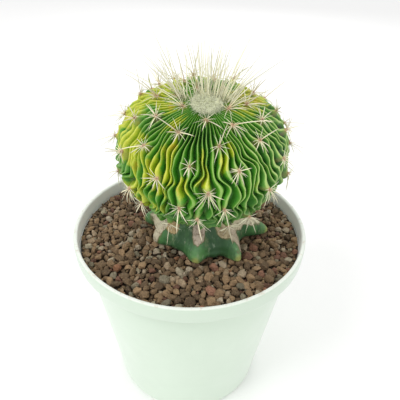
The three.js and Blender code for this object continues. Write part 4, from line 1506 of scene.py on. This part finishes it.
LENS = 41.4
SENSOR = 36.0
NEAREST = 0.01
CAMERA_PLACE = (0.0, -0.16844, 0.21865)
CAMERA_RIGHT = (0.99967, -0.00781, 0.02448)
CAMERA_UP = (-0.01575, 0.56673, 0.82375)
CAMERA_AHEAD = (0.0203, 0.8239, -0.5664)
FLOOR_REACH = 3

# Lamps that face one place: name, place, size and power
LIT_PLACE = Vector((0, 0, 0.1))
LAMPS = (
    ("key", (-0.4, -0.32, 0.7), 0.3, 1.6),
    ("fill", (0.5, -0.35, 0.5), 0.5, 0.15),
    ("back", (0.1, 0.7, 0.45), 0.5, 1.0),
)


class CACTUS_OT_studio(bpy.types.Operator):
    """Sets the pale floor, the soft light and the camera"""

    bl_idname = "cactus.studio"
    bl_label = "Build studio"

    def execute(self, context):
        values = context.scene.cactus_studio
        self.floor(context.scene, tuple(values.floor))
        self.light(context.scene, values.surround)
        self.camera(context.scene)
        return {"FINISHED"}

    def floor(self, scene, tint):
        bm = bmesh.new()
        bmesh.ops.create_grid(bm, x_segments=8, y_segments=8, size=FLOOR_REACH)
        floor = bpy.data.objects.new("floor", mesh_from(bm, "floor"))
        nodes = MaterialNodes("pale_floor")
        floor.data.materials.append(nodes.fed(
            Base_Color=nodes.mix(nodes.noise(30, 2, 0.5), tint, shade(tint, 0.985)),
            Roughness=0.8,
            Emission_Color=(1, 1, 1),
            Emission_Strength=0.05,
        ))
        scene.collection.objects.link(floor)

    def light(self, scene, surround):
        world = bpy.data.worlds.new("studio")
        scene.world = world
        world.use_nodes = True
        background = world.node_tree.nodes["Background"]
        background.inputs["Color"].default_value = (1, 1, 1, 1)
        background.inputs["Strength"].default_value = surround
        for name, place, size, power in LAMPS:
            light = bpy.data.lights.new(name, "AREA")
            light.shape = "DISK"
            light.size = size
            light.energy = power
            lamp = bpy.data.objects.new(name, light)
            lamp.location = place
            lamp.rotation_euler = (LIT_PLACE - Vector(place)).to_track_quat("-Z", "Y").to_euler()
            scene.collection.objects.link(lamp)
        scene.view_settings.view_transform = "Standard"
        scene.view_settings.look = "None"

    def camera(self, scene):
        lens = bpy.data.cameras.new("camera")
        lens.lens = LENS
        lens.sensor_width = SENSOR
        lens.clip_start = NEAREST
        camera = bpy.data.objects.new("camera", lens)
        turn = Matrix((CAMERA_RIGHT, CAMERA_UP, -Vector(CAMERA_AHEAD))).transposed().to_4x4()
        camera.matrix_world = Matrix.Translation(CAMERA_PLACE) @ turn
        scene.collection.objects.link(camera)
        scene.camera = camera


# ---------------------------------------------------------------- the panel and the build


class CACTUS_PT_build(bpy.types.Panel):
    """Lists the steps that build the potted cactus, in order"""

    bl_idname = "CACTUS_PT_build"
    bl_label = "Potted cactus"
    bl_space_type = "VIEW_3D"
    bl_region_type = "UI"
    bl_category = "Cactus"

    def draw(self, context):
        for step in STEPS:
            self.layout.operator(step.bl_idname)
        for name in SETTINGS:
            box = self.layout.box()
            values = getattr(context.scene, name)
            for key in values.bl_rna.properties.keys():
                if key not in ("rna_type", "name"):
                    box.prop(values, key)


STEPS = (
    CACTUS_OT_pot, CACTUS_OT_grit, CACTUS_OT_stock, CACTUS_OT_globe, CACTUS_OT_spines, CACTUS_OT_crown,
    CACTUS_OT_studio,
)
SETTINGS = {
    "cactus_pot": CactusPotSettings,
    "cactus_grit": CactusGritSettings,
    "cactus_plant": CactusPlantSettings,
    "cactus_studio": CactusStudioSettings,
}


def register():
    for kind in (*SETTINGS.values(), *STEPS, CACTUS_PT_build):
        bpy.utils.register_class(kind)
    for name, kind in SETTINGS.items():
        setattr(bpy.types.Scene, name, bpy.props.PointerProperty(type=kind))


def unregister():
    for name in SETTINGS:
        delattr(bpy.types.Scene, name)
    for kind in reversed((*SETTINGS.values(), *STEPS, CACTUS_PT_build)):
        bpy.utils.unregister_class(kind)


def main():
    register()
    for step in STEPS:
        area, action = step.bl_idname.split(".")
        getattr(getattr(bpy.ops, area), action)()
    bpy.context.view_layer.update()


if __name__ == "__main__":
    main()
